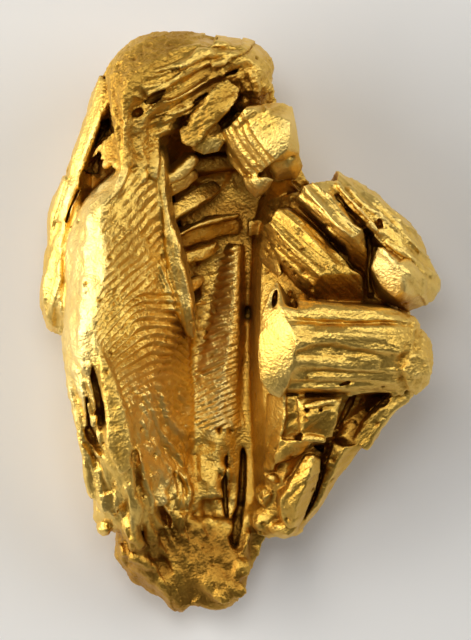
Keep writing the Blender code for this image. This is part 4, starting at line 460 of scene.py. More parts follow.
def crown():
    """The hood over the top: a domed outside that steps down in ledges to the inside."""
    low = [(-11.2, 14.6, 11), (-12.6, 17.6, 11.5), (-13, 20.6, 11.5), (-13.5, 23.8, 11),
        (-12.7, 26.2, 10.5), (-10, 28.3, 10), (-5.8, 28.9, 10), (-2, 28.3, 10), (1.4, 27.6, 10.5),
        (3.4, 25.6, 11), (2.9, 23.4, 11.5), (1.8, 21.8, 12)]
    shoulder = [(-11.2, 15, 17.5), (-12.1, 17.8, 18), (-12.3, 20.6, 18.4), (-12.9, 23.4, 18.2),
        (-12, 25.8, 17), (-9.6, 27.6, 16), (-5.7, 28.2, 15), (-2.1, 27.6, 14.6), (0.9, 27, 14.4),
        (2.8, 25.2, 14.4), (2.4, 23.6, 14.4), (1.6, 22.2, 14.4)]
    crest = [(-10.8, 15.2, 18.8), (-11.5, 17.8, 19.6), (-11.5, 20.4, 20.4), (-11.4, 22.6, 20.9),
        (-10.4, 24.3, 20.6), (-8.2, 25.7, 19.6), (-5.4, 26.4, 18.4), (-2.6, 26.5, 17.4), (-0.2, 26.3, 16.8),
        (1.8, 25.3, 16.2), (1.9, 24, 16), (1.2, 22.8, 15.6)]
    lip = [(-10.6, 15.4, 18.4), (-11.2, 17.6, 19.2), (-11.2, 19.6, 20), (-10.8, 21.6, 20.4),
        (-9.5, 22.7, 20.2), (-7.6, 23.5, 19.4), (-5.8, 24.6, 18.5), (-3.6, 25.6, 17.5), (-1.2, 25.9, 16.8),
        (0.8, 25.2, 16.2), (1.2, 24.2, 16), (0.6, 22.8, 15.4)]
    tread_1 = [(-10, 15.4, 17.6), (-10.6, 17.4, 18), (-10.6, 19.2, 18.6), (-10.2, 20.9, 19), (-9, 22, 18.8),
        (-7.2, 22.9, 18.2), (-5.6, 24, 17.6), (-3.6, 24.8, 16.8), (-1.4, 25.2, 16.2), (0.2, 24.8, 16),
        (0.7, 24, 15.8), (0.2, 22.8, 15.4)]
    nose_1 = [(-9.4, 15.4, 17.7), (-9.8, 17.2, 17.9), (-9.8, 18.8, 18.5), (-9.2, 20.3, 18.9),
        (-8, 21.2, 18.7), (-6.2, 22.2, 18.1), (-4.6, 23.2, 17.5), (-3, 23.9, 16.7), (-1.4, 24.4, 16.1),
        (-0.2, 24.1, 15.8), (0.2, 23.5, 15.5), (-0.1, 22.6, 15.1)]
    tread_2 = [(-9, 15.2, 16.6), (-9, 17, 16.6), (-9, 18.4, 16.8), (-8.4, 19.6, 17), (-7.2, 20.5, 17),
        (-5.6, 21.4, 16.6), (-4.2, 22.2, 16.2), (-2.8, 23, 15.6), (-1.6, 23.5, 15.2), (-0.7, 23.4, 15),
        (-0.3, 23, 14.8), (-0.5, 22.2, 14.4)]
    nose_2 = [(-8.4, 15.1, 16.7), (-8.2, 16.8, 16.5), (-8, 18, 16.5), (-7.4, 19, 16.7), (-6.2, 19.9, 16.7),
        (-4.9, 20.7, 16.3), (-3.7, 21.5, 15.9), (-2.6, 22.2, 15.3), (-1.6, 22.7, 14.9), (-1, 22.7, 14.7),
        (-0.6, 22.4, 14.5), (-0.7, 21.8, 14.3)]
    inside = [(-7.8, 15, 14.5), (-7.6, 16.5, 14.1), (-7.2, 17.4, 13.9), (-6.6, 18.2, 13.9),
        (-5.5, 19.1, 13.9), (-4.4, 19.9, 13.7), (-3.3, 20.7, 13.5), (-2.3, 21.4, 13.5), (-1.5, 21.9, 13.5),
        (-1, 22, 13.5), (-0.7, 21.8, 13.5), (-0.8, 21.4, 13.3)]
    end = [(-6.8, 14.8, 10), (-6.2, 15.4, 10), (-5.4, 16, 10), (-4.6, 16.8, 10), (-3.8, 17.6, 10),
        (-3, 18.4, 10), (-2.3, 19.2, 10), (-1.7, 19.9, 10), (-1.3, 20.4, 10), (-0.9, 20.7, 10),
        (-0.8, 20.7, 10), (-0.9, 20.5, 10)]
    mound("crown", [low, shoulder, crest, lip, tread_1, nose_1, tread_2, nose_2, inside, end], 3, along=56,
        between=3, shrink=0.66, toward=(-5, 14))


def crown_details():
    """The crown's ledges and ridges, the loose bar across it, and what joins it to the left wall."""
    bar("lip_1", [(-9.4, 22.2, 20), (-7.6, 23, 19.4), (-5.8, 24.3, 18.6), (-3.4, 25.3, 17.6),
        (-0.6, 25.7, 16.8)], [0.3, 0.5, 0.6, 0.6, 0.4], 1.6, tilt=16)
    bar("lip_2", [(-9.5, 20.4, 19.2), (-8, 21.5, 19), (-6.4, 21.9, 18.4), (-4.6, 22.9, 17.8),
        (-2.8, 23.9, 16.9)], [0.4, 0.7, 0.6, 0.6, 0.4], 1.6, tilt=16)
    bar("lip_3", [(-9.4, 19.7, 18), (-7.6, 20.5, 17.7), (-5.8, 21.1, 17.2), (-3.6, 22.3, 16.4),
        (-2, 23.5, 15.8)], [0.5, 0.8, 0.7, 0.6, 0.3], 1.6, tilt=16)
    bar("top_ridge_1", [(-8.4, 24.6, 20.2), (-6, 25.4, 19.2), (-4, 26.3, 18.2), (-2.2, 26.3, 17.6)],
        [0.3, 0.6, 0.8, 0.4], 1)
    bar("top_ridge_2", [(-7, 26.3, 18.9), (-4.6, 27, 17.6), (-1.8, 27.1, 16.2), (0.8, 26.6, 15.6)],
        [0.4, 0.7, 0.7, 0.5], 1)
    crystal("cross_bar", [(-6.1, 18.5, 16.2), (-5.7, 17.5, 16.2), (-4.6, 17.1, 16.3), (-4.4, 20.4, 17.2),
        (-2.8, 19, 17.2), (-1.2, 20.6, 17.5), (-2.4, 23.5, 17.5), (-1.2, 23.9, 17.2), (-0.2, 23, 17),
        (-0.2, 22, 17.2), (-3.4, 21.6, 17.8), (-5.4, 18.2, 14), (-1.4, 22.8, 14), (-4.6, 19.6, 14),
        (-3, 20, 14)])
    bar("neck", [(-10.3, 13.2, 17.9), (-10.2, 15.2, 18), (-10, 16.8, 17.6), (-9.9, 18.4, 17.2)],
        [2.4, 2.2, 2, 1.6], 4)
    bar("post", [(-8.6, 19, 16.4), (-8.6, 17.2, 17), (-8.5, 15.4, 17.6), (-8.6, 13.8, 17.4)],
        [1.1, 1.4, 1.2, 0.8], 3)
    crystal("inner_facet", [(-4.8, 17, 15), (-3.6, 16.5, 15.2), (-2.1, 16.8, 15.4), (-1.5, 17.9, 15.6),
        (-1.7, 19, 15.4), (-2.4, 19.9, 15), (-3.8, 18.6, 16), (-4.6, 17.6, 15.6), (-3, 19, 10),
        (-2, 17.6, 10), (-4, 17, 10)])
    bar("shelf", [(-7.7, 13.6, 14.8), (-6.4, 14.2, 14.6), (-5.2, 15.2, 14.2), (-4.2, 16.4, 14)],
        [0.8, 1.3, 1.4, 1], 2.4, tilt=20)
    lump("knob", (1.5, 23.6, 12.8), (1.7, 2.5, 2.9), -20)
    bar("knob_ridge", [(0.3, 25.4, 15.8), (1.2, 24.4, 16.4), (1.6, 23, 16), (1.4, 21.8, 14.6)],
        [0.5, 0.7, 0.8, 0.6], 2)
    lump("knob_low", (0.4, 21.6, 12.6), (1.4, 1.1, 2), 20)


def centre_block():
    """The chunky crystal under the right end of the crown, stepped on its left side."""
    crystal("centre_crystal", [(0.2, 20.9, 20.4), (2.6, 20.6, 20.9), (4.9, 19.7, 21.3), (4.9, 18.2, 21.4),
        (4.6, 16.8, 21.3), (3.5, 15.8, 20.9), (2.4, 16.9, 20.8), (1.1, 18.8, 20.5), (1.4, 21, 17.2),
        (3.1, 21.4, 17.4), (5.2, 21.2, 17.6), (5.4, 20, 19.4), (5.9, 17.4, 19), (5.9, 16.5, 18.6),
        (1, 20, 10), (5.2, 20.4, 12), (5.6, 16, 12), (3, 15.4, 11)])
    rails = [
        [(1.2, 20.4, 17), (2.2, 19, 17), (3.4, 17.2, 17), (4.2, 16, 17)],
        [(0.3, 20.9, 20.3), (1.3, 19, 20.7), (2.7, 17, 20.7), (3.6, 15.8, 20.3)],
    ]
    for k in range(CENTRE_STEPS):
        low = 20 - 0.9 * k
        nose = [(0.1 - 0.45 * k, 20.8 - 0.5 * k), (0.95 - 0.42 * k, 19 - 0.52 * k),
            (2.3 - 0.45 * k, 17 - 0.5 * k), (3.3 - 0.45 * k, 15.6 - 0.34 * k)]
        rails.append([(x, y, low + 0.1 * i) for i, (x, y) in enumerate(nose)])
        rails.append([(x - 0.1, y - 0.1, low - 0.62 + 0.1 * i) for i, (x, y) in enumerate(nose)])
    rails.append([(-1.7, 18.7, 14), (-1.3, 16.6, 14), (0, 14.6, 14), (1.3, 13.9, 14)])
    mound("centre_steps", rails, 10, along=20, between=1, shrink=0.9)
    crystal("centre_side", [(-0.2, 20.8, 17), (-1.4, 19.4, 14), (-1.6, 18.6, 14), (-1.5, 17.2, 14),
        (-0.9, 15.6, 14.4), (0.2, 14.3, 14.8), (2.2, 14.3, 15.6), (3, 15, 17), (0.8, 18, 17.6), (-1, 18, 9),
        (1, 15, 9), (2, 18, 9)])
    crystal("centre_foot", [(0.2, 14.3, 15.4), (0.7, 12.9, 15.2), (1.6, 12.1, 15.2), (2.5, 12.7, 16),
        (3.4, 14, 17), (1.1, 14, 16.8), (2.2, 14.2, 17.2), (1.8, 13, 16.6), (1, 13.6, 10), (3, 14, 10)])
    crystal("centre_knob", [(2.9, 15.3, 17.6), (4.3, 16.4, 19), (5.8, 16.5, 18.6), (6.35, 15.3, 17),
        (5.7, 14.1, 15.8), (3.6, 13.9, 15.8), (4.7, 15.1, 18.4), (3.4, 15, 11), (5.8, 15.8, 12),
        (5.2, 14, 12)])
    crystal("centre_link", [(2.6, 13.8, 12), (5, 14, 12.6), (5.9, 13, 11), (4.6, 11.4, 10), (2.6, 12, 9),
        (3, 13.6, 6), (5.6, 12.4, 6)])


# ---------------------------------------------------------------- the right side


def right_mass():
    """What the right-hand crystals grow from; its left side is the smooth inner wall of the hollow."""
    foot = [(1.6, 12.6, 6), (1.1, 9, 5.5), (1, 5, 5.5), (0.9, 1, 5.5), (0.9, -3, 5.5), (0.8, -7, 5.5),
        (0.8, -11, 5.5), (0.8, -15, 5.5), (0.8, -19, 5.5), (0.9, -22, 5.5)]
    wall = [(3.4, 12.4, 10), (2.5, 9, 11), (2.1, 5, 11.6), (2, 1, 12.6), (2, -3, 13), (2.2, -7, 13),
        (2.5, -11, 12), (2.6, -15, 10.6), (2.4, -19, 9), (1.9, -21.6, 7.5)]
    top = [(5, 12.6, 12), (5.6, 10, 13), (6.4, 6, 13.4), (7, 1, 15), (7, -3, 17), (6.4, -7, 15.6),
        (5.6, -11, 13.6), (4.6, -15, 12), (3.8, -19, 10), (2.8, -21.6, 8)]
    brow = [(6, 12.9, 11.4), (10.4, 11, 12), (13, 6.6, 12), (14.4, 1.6, 12), (15, -3, 15),
        (12.5, -7.4, 13.6), (9.6, -11, 12), (7.4, -15, 11), (5.2, -19, 9.6), (3.4, -21.6, 8)]
    side = [(6.4, 13.3, 9), (12, 12.2, 9), (16.8, 7.5, 8.6), (17, 1.2, 8.6), (17.6, -3.5, 9),
        (14.8, -8.4, 9), (11.4, -12.4, 9), (8.6, -16.4, 8.6), (5.9, -20.2, 7.6), (3.9, -21.8, 7)]
    mound("right_mass", [foot, wall, top, brow, side], 2.4, along=40, between=4, shrink=0.6, toward=(3, -2))


def right_crystals():
    """Elongated crystals that fan out above the block, and the lump at their foot."""
    mound("crystal_a", [
        [(2.3, 9.4, 12), (3.3, 6.4, 12.5), (4.6, 4.6, 13), (6.4, 2.6, 13.4)],
        [(2.5, 9.5, 16.2), (3.6, 6.9, 16.8), (5, 5, 17.2), (6.9, 2.9, 17.2)],
        [(2.9, 9.7, 17.8), (4.6, 7.9, 18.8), (6.4, 6.1, 19.5), (8.1, 4.4, 19.9)],
        [(3.3, 10.2, 17.3), (5.2, 8.4, 18.1), (7.1, 6.5, 18.8), (8.7, 5, 19.3)],
        [(3.8, 11, 17.9), (6, 9.2, 18.8), (7.9, 7.2, 19.4), (9.5, 5.5, 19.6)],
        [(4.6, 11.1, 16.8), (6.6, 9.6, 17.6), (8.8, 7.4, 18.2), (10.8, 5, 18.4)],
        [(4.7, 11.2, 12), (7, 9.8, 12), (9.2, 7.6, 12), (11, 5.1, 12)],
    ], 10, along=12, between=2, shrink=1)
    crystal("crystal_a_end", [(8.1, 4.5, 19.9), (7, 4.8, 18.4), (9.3, 5.8, 19.4), (10.7, 5.3, 18.3),
        (11.9, 4.6, 18.2), (12.2, 4.2, 17.4), (12.3, 1.7, 14.6), (9.3, 1.7, 15.8), (6.8, 2, 15.8),
        (9, 5, 12), (12, 4.4, 11), (7, 2, 11), (12.2, 1.8, 11)])
    bar("crystal_a_blade", [(8.3, 7.6, 18.2), (9.6, 6.6, 18.6), (10.5, 5.6, 18.7), (10.9, 4.7, 18.6)],
        0.28, 1.6, sides=8)
    bar("crystal_a_lip", [(4.2, 11.1, 17.6), (5.8, 9.9, 18.2), (7.6, 7.9, 18.8), (8.9, 6.1, 19.2)],
        0.35, 1.6, sides=8)
    crystal("plate_a", [(1.8, 6.3, 12.6), (2.4, 9.4, 14), (3, 9, 15), (3.5, 6, 15), (4.2, 4.6, 15.2),
        (3.8, 4.2, 14.6), (2.4, 5.4, 12.6), (2.4, 8, 10), (3.6, 5, 10)])
    bar("plate_a_edge", [(3.9, 4.5, 16.2), (5, 3.7, 16.8), (6.2, 2.5, 17.2)], [0.3, 0.6, 0.5], 2)
    mound("crystal_b", [
        [(5.2, 11.8, 10.5), (7.2, 9.6, 11), (9.3, 7.4, 11.5), (10.7, 6.2, 11.5)],
        [(5.7, 12.2, 16.2), (7.7, 10.2, 17.4), (9.6, 8.2, 18), (10.9, 7.2, 17.4)],
        [(6.3, 13.3, 17.4), (8.2, 11.1, 18.8), (10, 9.1, 19.5), (11.2, 8.1, 19)],
        [(6.8, 13.5, 16.9), (8.6, 11.5, 18.2), (10.2, 9.6, 18.9), (11.6, 8.5, 18.6)],
        [(7.6, 13.8, 17.1), (9.2, 12, 18.2), (10.5, 10.2, 18.9), (12, 9, 18.7)],
        [(9, 13.9, 16.4), (9.7, 12.2, 17.4), (10.7, 10.4, 18.2), (12.3, 9, 18.2)],
        [(9.2, 13.9, 10.5), (9.9, 12.3, 11), (11, 10.5, 11), (12.5, 9, 11)],
    ], 9, along=12, between=2, shrink=1)
    crystal("crystal_b_end", [(10.5, 7.4, 17.6), (11.2, 8.3, 19), (12.3, 9, 18.4), (12.6, 6.2, 16.2),
        (12.7, 4.4, 14), (11.7, 4.4, 14), (10.8, 5.8, 15), (11.6, 8, 10), (12.4, 5, 10)])
    mound("crystal_c", [
        [(8.8, 13.2, 10.5), (10.2, 11.2, 10.5), (12, 9, 10.5), (13.6, 7.2, 10.5), (15, 6, 10.5)],
        [(9.1, 13.8, 16.4), (10.4, 11.6, 17.6), (12.3, 9.7, 18), (13.7, 8, 17.8), (15.6, 6.2, 17.2)],
        [(9.7, 14, 16), (11.8, 11.9, 17.4), (13.9, 9.8, 18), (15.8, 7.8, 17.6), (17.2, 5.6, 16.6)],
        [(9.7, 14.6, 15.2), (12.2, 12.5, 16.8), (14.7, 10.3, 17.2), (16.8, 7.9, 16.6), (18.3, 5.2, 15.2)],
        [(9.6, 14.9, 13.6), (12.8, 13, 14.6), (15.7, 10.7, 15), (17.8, 8, 14.6), (19.5, 4.8, 13.4)],
        [(9.6, 15, 11.6), (13, 13.1, 12), (16.1, 10.6, 12), (18.2, 7.8, 11.6), (20, 4, 10.8)],
        [(9.8, 14.4, 8.5), (12.8, 12.7, 8.5), (15.6, 10.2, 8.5), (17.6, 7.4, 8.5), (19.2, 3.8, 8.5)],
    ], 4, along=20, between=2, shrink=0.78, toward=(4, 3))
    bar("arch_1", [(9.3, 14.1, 16.6), (11, 11.9, 18.1), (12.6, 10.3, 18.5), (13.9, 8.6, 18.3)],
        [0.4, 0.6, 0.6, 0.4], 2, tilt=-10, sides=8)
    bar("arch_2", [(10.4, 13.6, 16.8), (12.4, 11.5, 18), (14.2, 10.2, 18.1), (15.8, 8.8, 17.7)],
        [0.4, 0.5, 0.6, 0.4], 2, tilt=-16, sides=8)
    bar("arch_3", [(11, 13.6, 15.9), (13.2, 12.1, 17), (15.2, 10.2, 17.3), (17, 8, 16.8),
        (18.2, 6.4, 15.8)], [0.4, 0.6, 0.7, 0.7, 0.4], 2, tilt=-22, sides=8)
    bar("arch_4", [(14.4, 8, 18), (15.7, 7, 17.8), (17, 6.1, 17.2), (18.6, 4.9, 15.6)],
        [0.3, 0.5, 0.6, 0.3], 2, tilt=-12, sides=8)
    crystal("end_lump", [(13.7, 7.2, 17.8), (14.3, 7.1, 18.4), (15.3, 5.8, 19), (16.3, 4, 19),
        (16.3, 2.8, 18.5), (15.4, 2.2, 17.8), (14.2, 3.1, 17.6), (13, 5.2, 17.6), (13.7, 2.3, 13.6),
        (12.9, 5, 12), (17.6, 5, 17), (19.8, 4.6, 13.8), (20.1, 3.6, 12.6), (19.4, 2.1, 12),
        (17.9, 1.2, 11.8), (16.8, 0.8, 11.6), (17.4, 2.4, 16.2), (14, 6, 9), (18, 4.4, 8), (14, 2.4, 9),
        (18, 2, 8.6)])


def lower_block():
    """The big banded crystal low on the right."""
    crystal("block_face", [(3.7, 4, 18.4), (2.9, 2.6, 18.6), (2.2, 0.6, 18.8), (1.9, -1.6, 18.9),
        (1.8, -4, 18.7), (2, -6, 18.3), (2.9, -7.3, 18), (4, -7.8, 17.8), (4.7, -6.6, 19), (5.2, -5, 20.4),
        (5.5, -3, 21.4), (5.2, -1, 21.6), (4.4, 0.4, 20.8), (3.9, 2, 19.4), (3, 2.4, 9), (2.2, -5.8, 9),
        (6.4, 0, 9), (5, -7, 9)])
    mound("block_bands", [
        [(5.6, 2.1, 12), (8, 1.9, 13), (12, 1.7, 13), (15, 1.3, 12), (17.2, 0.4, 11)],
        [(5.9, 1.9, 19.4), (8, 1.7, 20.2), (12, 1.4, 20), (14.6, 1.1, 19.4), (17.2, 0.2, 17)],
        [(5.8, 1.2, 20.4), (8, 1.2, 20.9), (12, 0.9, 20.7), (14.8, 0.6, 20.1), (17.4, -0.1, 17.8)],
        [(5, 0.4, 20.9), (8, 0.1, 21.1), (12, -0.1, 20.9), (15, 0, 20.3), (17.4, -0.4, 18.2)],
        [(4.8, 0, 20.9), (8, -0.2, 20.4), (12, -0.4, 20.2), (15, -0.25, 19.7), (17.4, -0.6, 18)],
        [(4.9, -0.6, 21.4), (8, -0.5, 21.2), (12, -0.65, 21), (15, -0.6, 20.4), (17.4, -1, 18.4)],
        [(5.4, -1.8, 21.8), (8, -1.3, 21.7), (12, -1.5, 21.4), (15, -1.6, 20.8), (17.3, -1.9, 18.9)],
        [(5.5, -2.9, 21.6), (8, -2.2, 21.6), (11.6, -2.7, 21.3), (15, -3.2, 20.6), (17, -3.1, 19)],
        [(5.5, -3.2, 21), (8, -2.6, 20.5), (11.6, -3.1, 20.2), (15, -3.6, 19.5), (16.9, -3.6, 18)],
        [(5.3, -4.6, 20.6), (7.6, -4.7, 20.2), (11.6, -4.7, 19.8), (15, -5, 18.9), (16.8, -5.2, 17.2)],
        [(5.2, -5.2, 20), (7.6, -5, 19.2), (11.6, -5.2, 19), (15, -5.3, 18.4), (16.8, -5.6, 16.8)],
        [(5, -6, 19), (7.6, -5.8, 19.4), (11.4, -5.8, 19), (15, -6, 18), (16.8, -6.2, 16.4)],
        [(4.9, -6.3, 18.2), (7.6, -6.1, 18.4), (11.4, -6.2, 18.2), (15, -6.3, 17.6), (16.6, -6.6, 16)],
        [(4.8, -6.8, 18), (7.6, -6.8, 18.4), (11.4, -6.6, 18.1), (14.6, -6.5, 17.4), (16.4, -7, 15.8)],
        [(4.7, -7.2, 17), (7.6, -7.1, 17.2), (11.2, -7.1, 17), (14.4, -6.9, 16.6), (16.2, -7.4, 15)],
        [(4.7, -7.6, 12), (7.6, -7.6, 12), (11.2, -7.6, 12), (14.4, -7.4, 12), (16.2, -7.8, 11)],
    ], 4.4, along=26, between=2, shrink=0.7, toward=(4, -3))
    bar("block_blade", [(3.9, 3.2, 18.6), (3.95, 2.2, 19.4), (4.4, 1.2, 20.4), (5.4, 0.6, 21)],
        [0.35, 0.6, 1, 1.2], 3, tilt=-14)
    bar("block_link", [(6.1, 2.9, 17.4), (6.1, 2, 19), (6.1, 1, 20.2)], [0.8, 0.9, 1], 3)
    lump("block_end", (17, -3.5, 14.6), (2.2, 3.7, 4.4), 8)
    lump("block_end_top", (16.9, -0.9, 15.4), (1.1, 1.2, 2.4), 8)
    bar("block_edge", [(17.7, -4, 15), (16.6, -6.6, 14.6), (14.7, -8.8, 14.4), (12.9, -10.9, 13.8),
        (11.6, -12.8, 13)], [2.2, 2, 1.8, 2, 2.2], 5)
    bar("cavity_brow", [(10.6, -7.4, 16.8), (12.6, -7, 16.6), (14.8, -7, 16), (15.8, -7.6, 15.2)],
        [0.5, 0.5, 0.6, 0.6], 2)


def lower_cluster():
    """Small crystals under the block."""
    crystal("cluster_a", [(6, -11.2, 16.6), (6.8, -9.6, 17.6), (5.6, -7.7, 17), (9.9, -8.6, 17.4),
        (10.2, -7.6, 16.6), (9.4, -10, 16.6), (9.2, -11.7, 15.8), (7, -11.8, 16), (6, -11, 11),
        (9, -9, 11)])
    bar("cluster_fold", [(6.2, -8.6, 17.8), (8, -8.2, 18), (10, -7.9, 17.2)], [0.5, 0.6, 0.4], 2)
    bar("cluster_bar", [(6, -11.7, 16.6), (7.3, -11.8, 16.8), (8.7, -12, 16.4)], [0.6, 0.9, 0.7], 2)
    crystal("cluster_side", [(4.2, -7.6, 16.4), (6.4, -7.4, 16.6), (7, -9.2, 16.4), (6, -11.2, 15.8),
        (5, -12.4, 15), (4, -11.6, 14.6), (4.1, -9.8, 15.8), (5.2, -9, 9), (5.2, -11, 9)])
    crystal("cluster_b", [(4, -11.9, 15.4), (5.6, -11.9, 16.4), (7.1, -12.4, 15.8), (6.2, -13.3, 14.8),
        (3.4, -14.4, 13.4), (3.4, -13.6, 14), (4, -12, 10), (5, -14, 10)])
    mound("cluster_leaf", [
        [(6.4, -13.6, 11), (4.9, -16, 10), (4, -18.4, 9), (4.4, -20.4, 8)],
        [(6.6, -13.5, 15.2), (5.2, -15.9, 14.4), (4.3, -18.2, 13), (4.7, -20.2, 11.2)],
        [(7.3, -13.4, 15.8), (6.7, -16, 15.2), (5.7, -18.4, 13.8), (5.3, -20.6, 11.4)],
        [(8, -13.8, 14.4), (7.7, -16, 13.4), (6.8, -18.4, 12), (5.8, -20.6, 10.4)],
        [(8, -14, 10), (7.8, -16.2, 9), (6.9, -18.6, 8.4), (5.9, -20.8, 8)],
    ], 7, along=16, between=2, shrink=1)
    bar("cluster_leaf_edge", [(4.9, -16.6, 13.8), (4.3, -18.2, 13), (4.6, -19.9, 11.6), (5.4, -20.9, 10.6)],
        [0.4, 0.7, 0.7, 0.6], 3)
    mound("cluster_strip", [
        [(2.5, -7.6, 11), (2.4, -9.6, 10.5), (2.3, -12, 9.6), (2.2, -15, 8.6)],
        [(2.9, -7.4, 15), (2.7, -9.6, 14), (2.5, -12, 12.4), (2.4, -15, 10.8)],
        [(4.5, -7.4, 17.4), (4.5, -9.8, 16.6), (3.9, -12.4, 14.8), (3.3, -15, 12.4)],
        [(4.9, -7.6, 14), (4.9, -9.8, 14), (4.3, -12.6, 12.4), (3.6, -15.2, 10.8)],
    ], 7, along=16, between=3, shrink=1)
    bar("cluster_hook", [(2.6, -15.6, 11.4), (3.4, -15.8, 11.8), (4, -16.2, 11)], [0.5, 0.8, 0.5], 2)
    lump("cluster_lump_1", (2.9, -17.4, 8.4), (1.4, 1.6, 2), rough=0.3)
    lump("cluster_lump_2", (2.9, -19.8, 7.4), (1.8, 2, 2), rough=0.25)
    lump("cluster_lump_3", (4.5, -20.8, 8), (1.9, 1.1, 2.2))
    mound("low_rim", [
        [(9.2, -12.2, 10), (8.5, -14.6, 9.4), (7.9, -16.9, 8.6), (7, -18.8, 8), (5.8, -20.6, 7.6)],
        [(9.3, -12.3, 13.6), (8.6, -14.6, 12.8), (8, -16.9, 11.8), (7.1, -18.9, 10.8), (5.9, -20.8, 9.4)],
        [(10.6, -12.6, 14.4), (9.5, -14.7, 13.2), (8.6, -16.8, 12), (7.6, -18.8, 10.8), (6.2, -20.8, 9.2)],
        [(12.4, -12.3, 12.4), (10.6, -14.9, 11.2), (9.1, -16.9, 10.2), (7.9, -18.9, 9), (6.3, -21, 8)],
        [(12.4, -12.2, 9), (10.6, -14.8, 8), (9.1, -16.8, 7.6), (7.9, -18.8, 7), (6.2, -20.9, 6.6)],
    ], 4, along=20, between=3, shrink=0.76, toward=(0, -11))
    bar("cavity_slope", [(12.6, -8.8, 11.6), (11.6, -10.6, 12.4), (10.6, -12.2, 13.2)], [2.6, 2.4, 2], 4)


def tail():
    """The lumpy lower end, with a crust along its left edge."""
    mound("tail", [
        [(-11.8, -20, 6.4), (-12.7, -22.6, 6), (-11.9, -25.1, 5.4), (-9.7, -27.1, 4.8), (-7.4, -28.5, 4.4),
         (-5.7, -29.6, 4.2)],
        [(-11.2, -20, 11), (-11.4, -22.8, 9.6), (-10.2, -24.4, 9), (-8.7, -26, 8), (-7, -27.6, 6.8),
         (-5.6, -28.9, 5.6)],
        [(-9, -20, 9.6), (-9, -22.6, 7.8), (-8, -24.6, 7.4), (-7, -26, 7), (-6, -27.4, 6.4),
         (-5, -28.7, 5.6)],
        [(-5.6, -20, 8.4), (-5.6, -22.4, 8.2), (-5.2, -24.6, 8), (-4.6, -26.2, 7.6), (-4.2, -27.6, 6.8),
         (-3.9, -29, 5.6)],
        [(-2.6, -20, 7.6), (-2.4, -22.4, 7.8), (-2, -24.6, 7.8), (-2, -26.4, 7.4), (-2, -27.8, 6.8),
         (-2.4, -29.2, 5.2)],
        [(0.4, -20, 7), (0.5, -22.4, 7.2), (0.2, -24.6, 7), (0, -26.4, 6.6), (-0.4, -27.8, 6),
         (-1, -29.2, 4.8)],
        [(1.6, -20.4, 6), (1.2, -22.2, 5.6), (0.9, -24.4, 5.2), (0.8, -26.5, 4.8), (0.2, -28.2, 4.6),
         (-0.6, -29.2, 4.2)],
    ], 2, along=30, between=4, shrink=0.72, toward=(-3.6, -19))
    bar("tail_crust", [(-11.9, -22.1, 9.4), (-11.3, -23.3, 9.8), (-10.2, -23.9, 9.8), (-8.9, -24.7, 9.2),
        (-8, -25.2, 8.4)], [0.8, 0.9, 0.6, 0.6, 0.4], 3)
    bar("tail_edge", [(0.9, -21.1, 8), (0.6, -22.4, 8), (0.1, -23.6, 7.8)], 0.5, 3)
    bar("tail_fold", [(-9.8, -22, 10), (-9, -23.2, 9), (-7.8, -23.9, 8.4)], [0.6, 0.8, 0.8], 3)
    beads = [(-2.2, -24.5, 0.8), (-3.8, -24, 0.8), (-3.2, -26.2, 1), (-1.2, -26.4, 1), (0.1, -25, 0.8),
        (-1.6, -27.8, 0.9), (-5, -22.3, 0.9), (-3.4, -20.6, 1), (-2.7, -22.6, 0.7), (0, -27, 0.7)]
    for k, (x, y, r) in enumerate(beads):
        lump(f"tail_lump_{k}", (x, y, 7.2), (1.3 * r, 1.1 * r, 0.75), 30 * k, rough=0.4)
    bar("leaf_outline", [(-6.1, -14.8, 9.6), (-5.4, -16, 9.8), (-5, -17.4, 9.4), (-5.6, -19.2, 8.8)],
        [0.3, 0.5, 0.5, 0.3], 1.6)
    lump("leaf", (-6, -17.6, 8.6), (0.7, 1.5, 0.8), 8)
    lump("lens", (-1, -19.2, 6), (0.55, 1.3, 1), 4, rough=0.02)


# ---------------------------------------------------------------- slots and pits


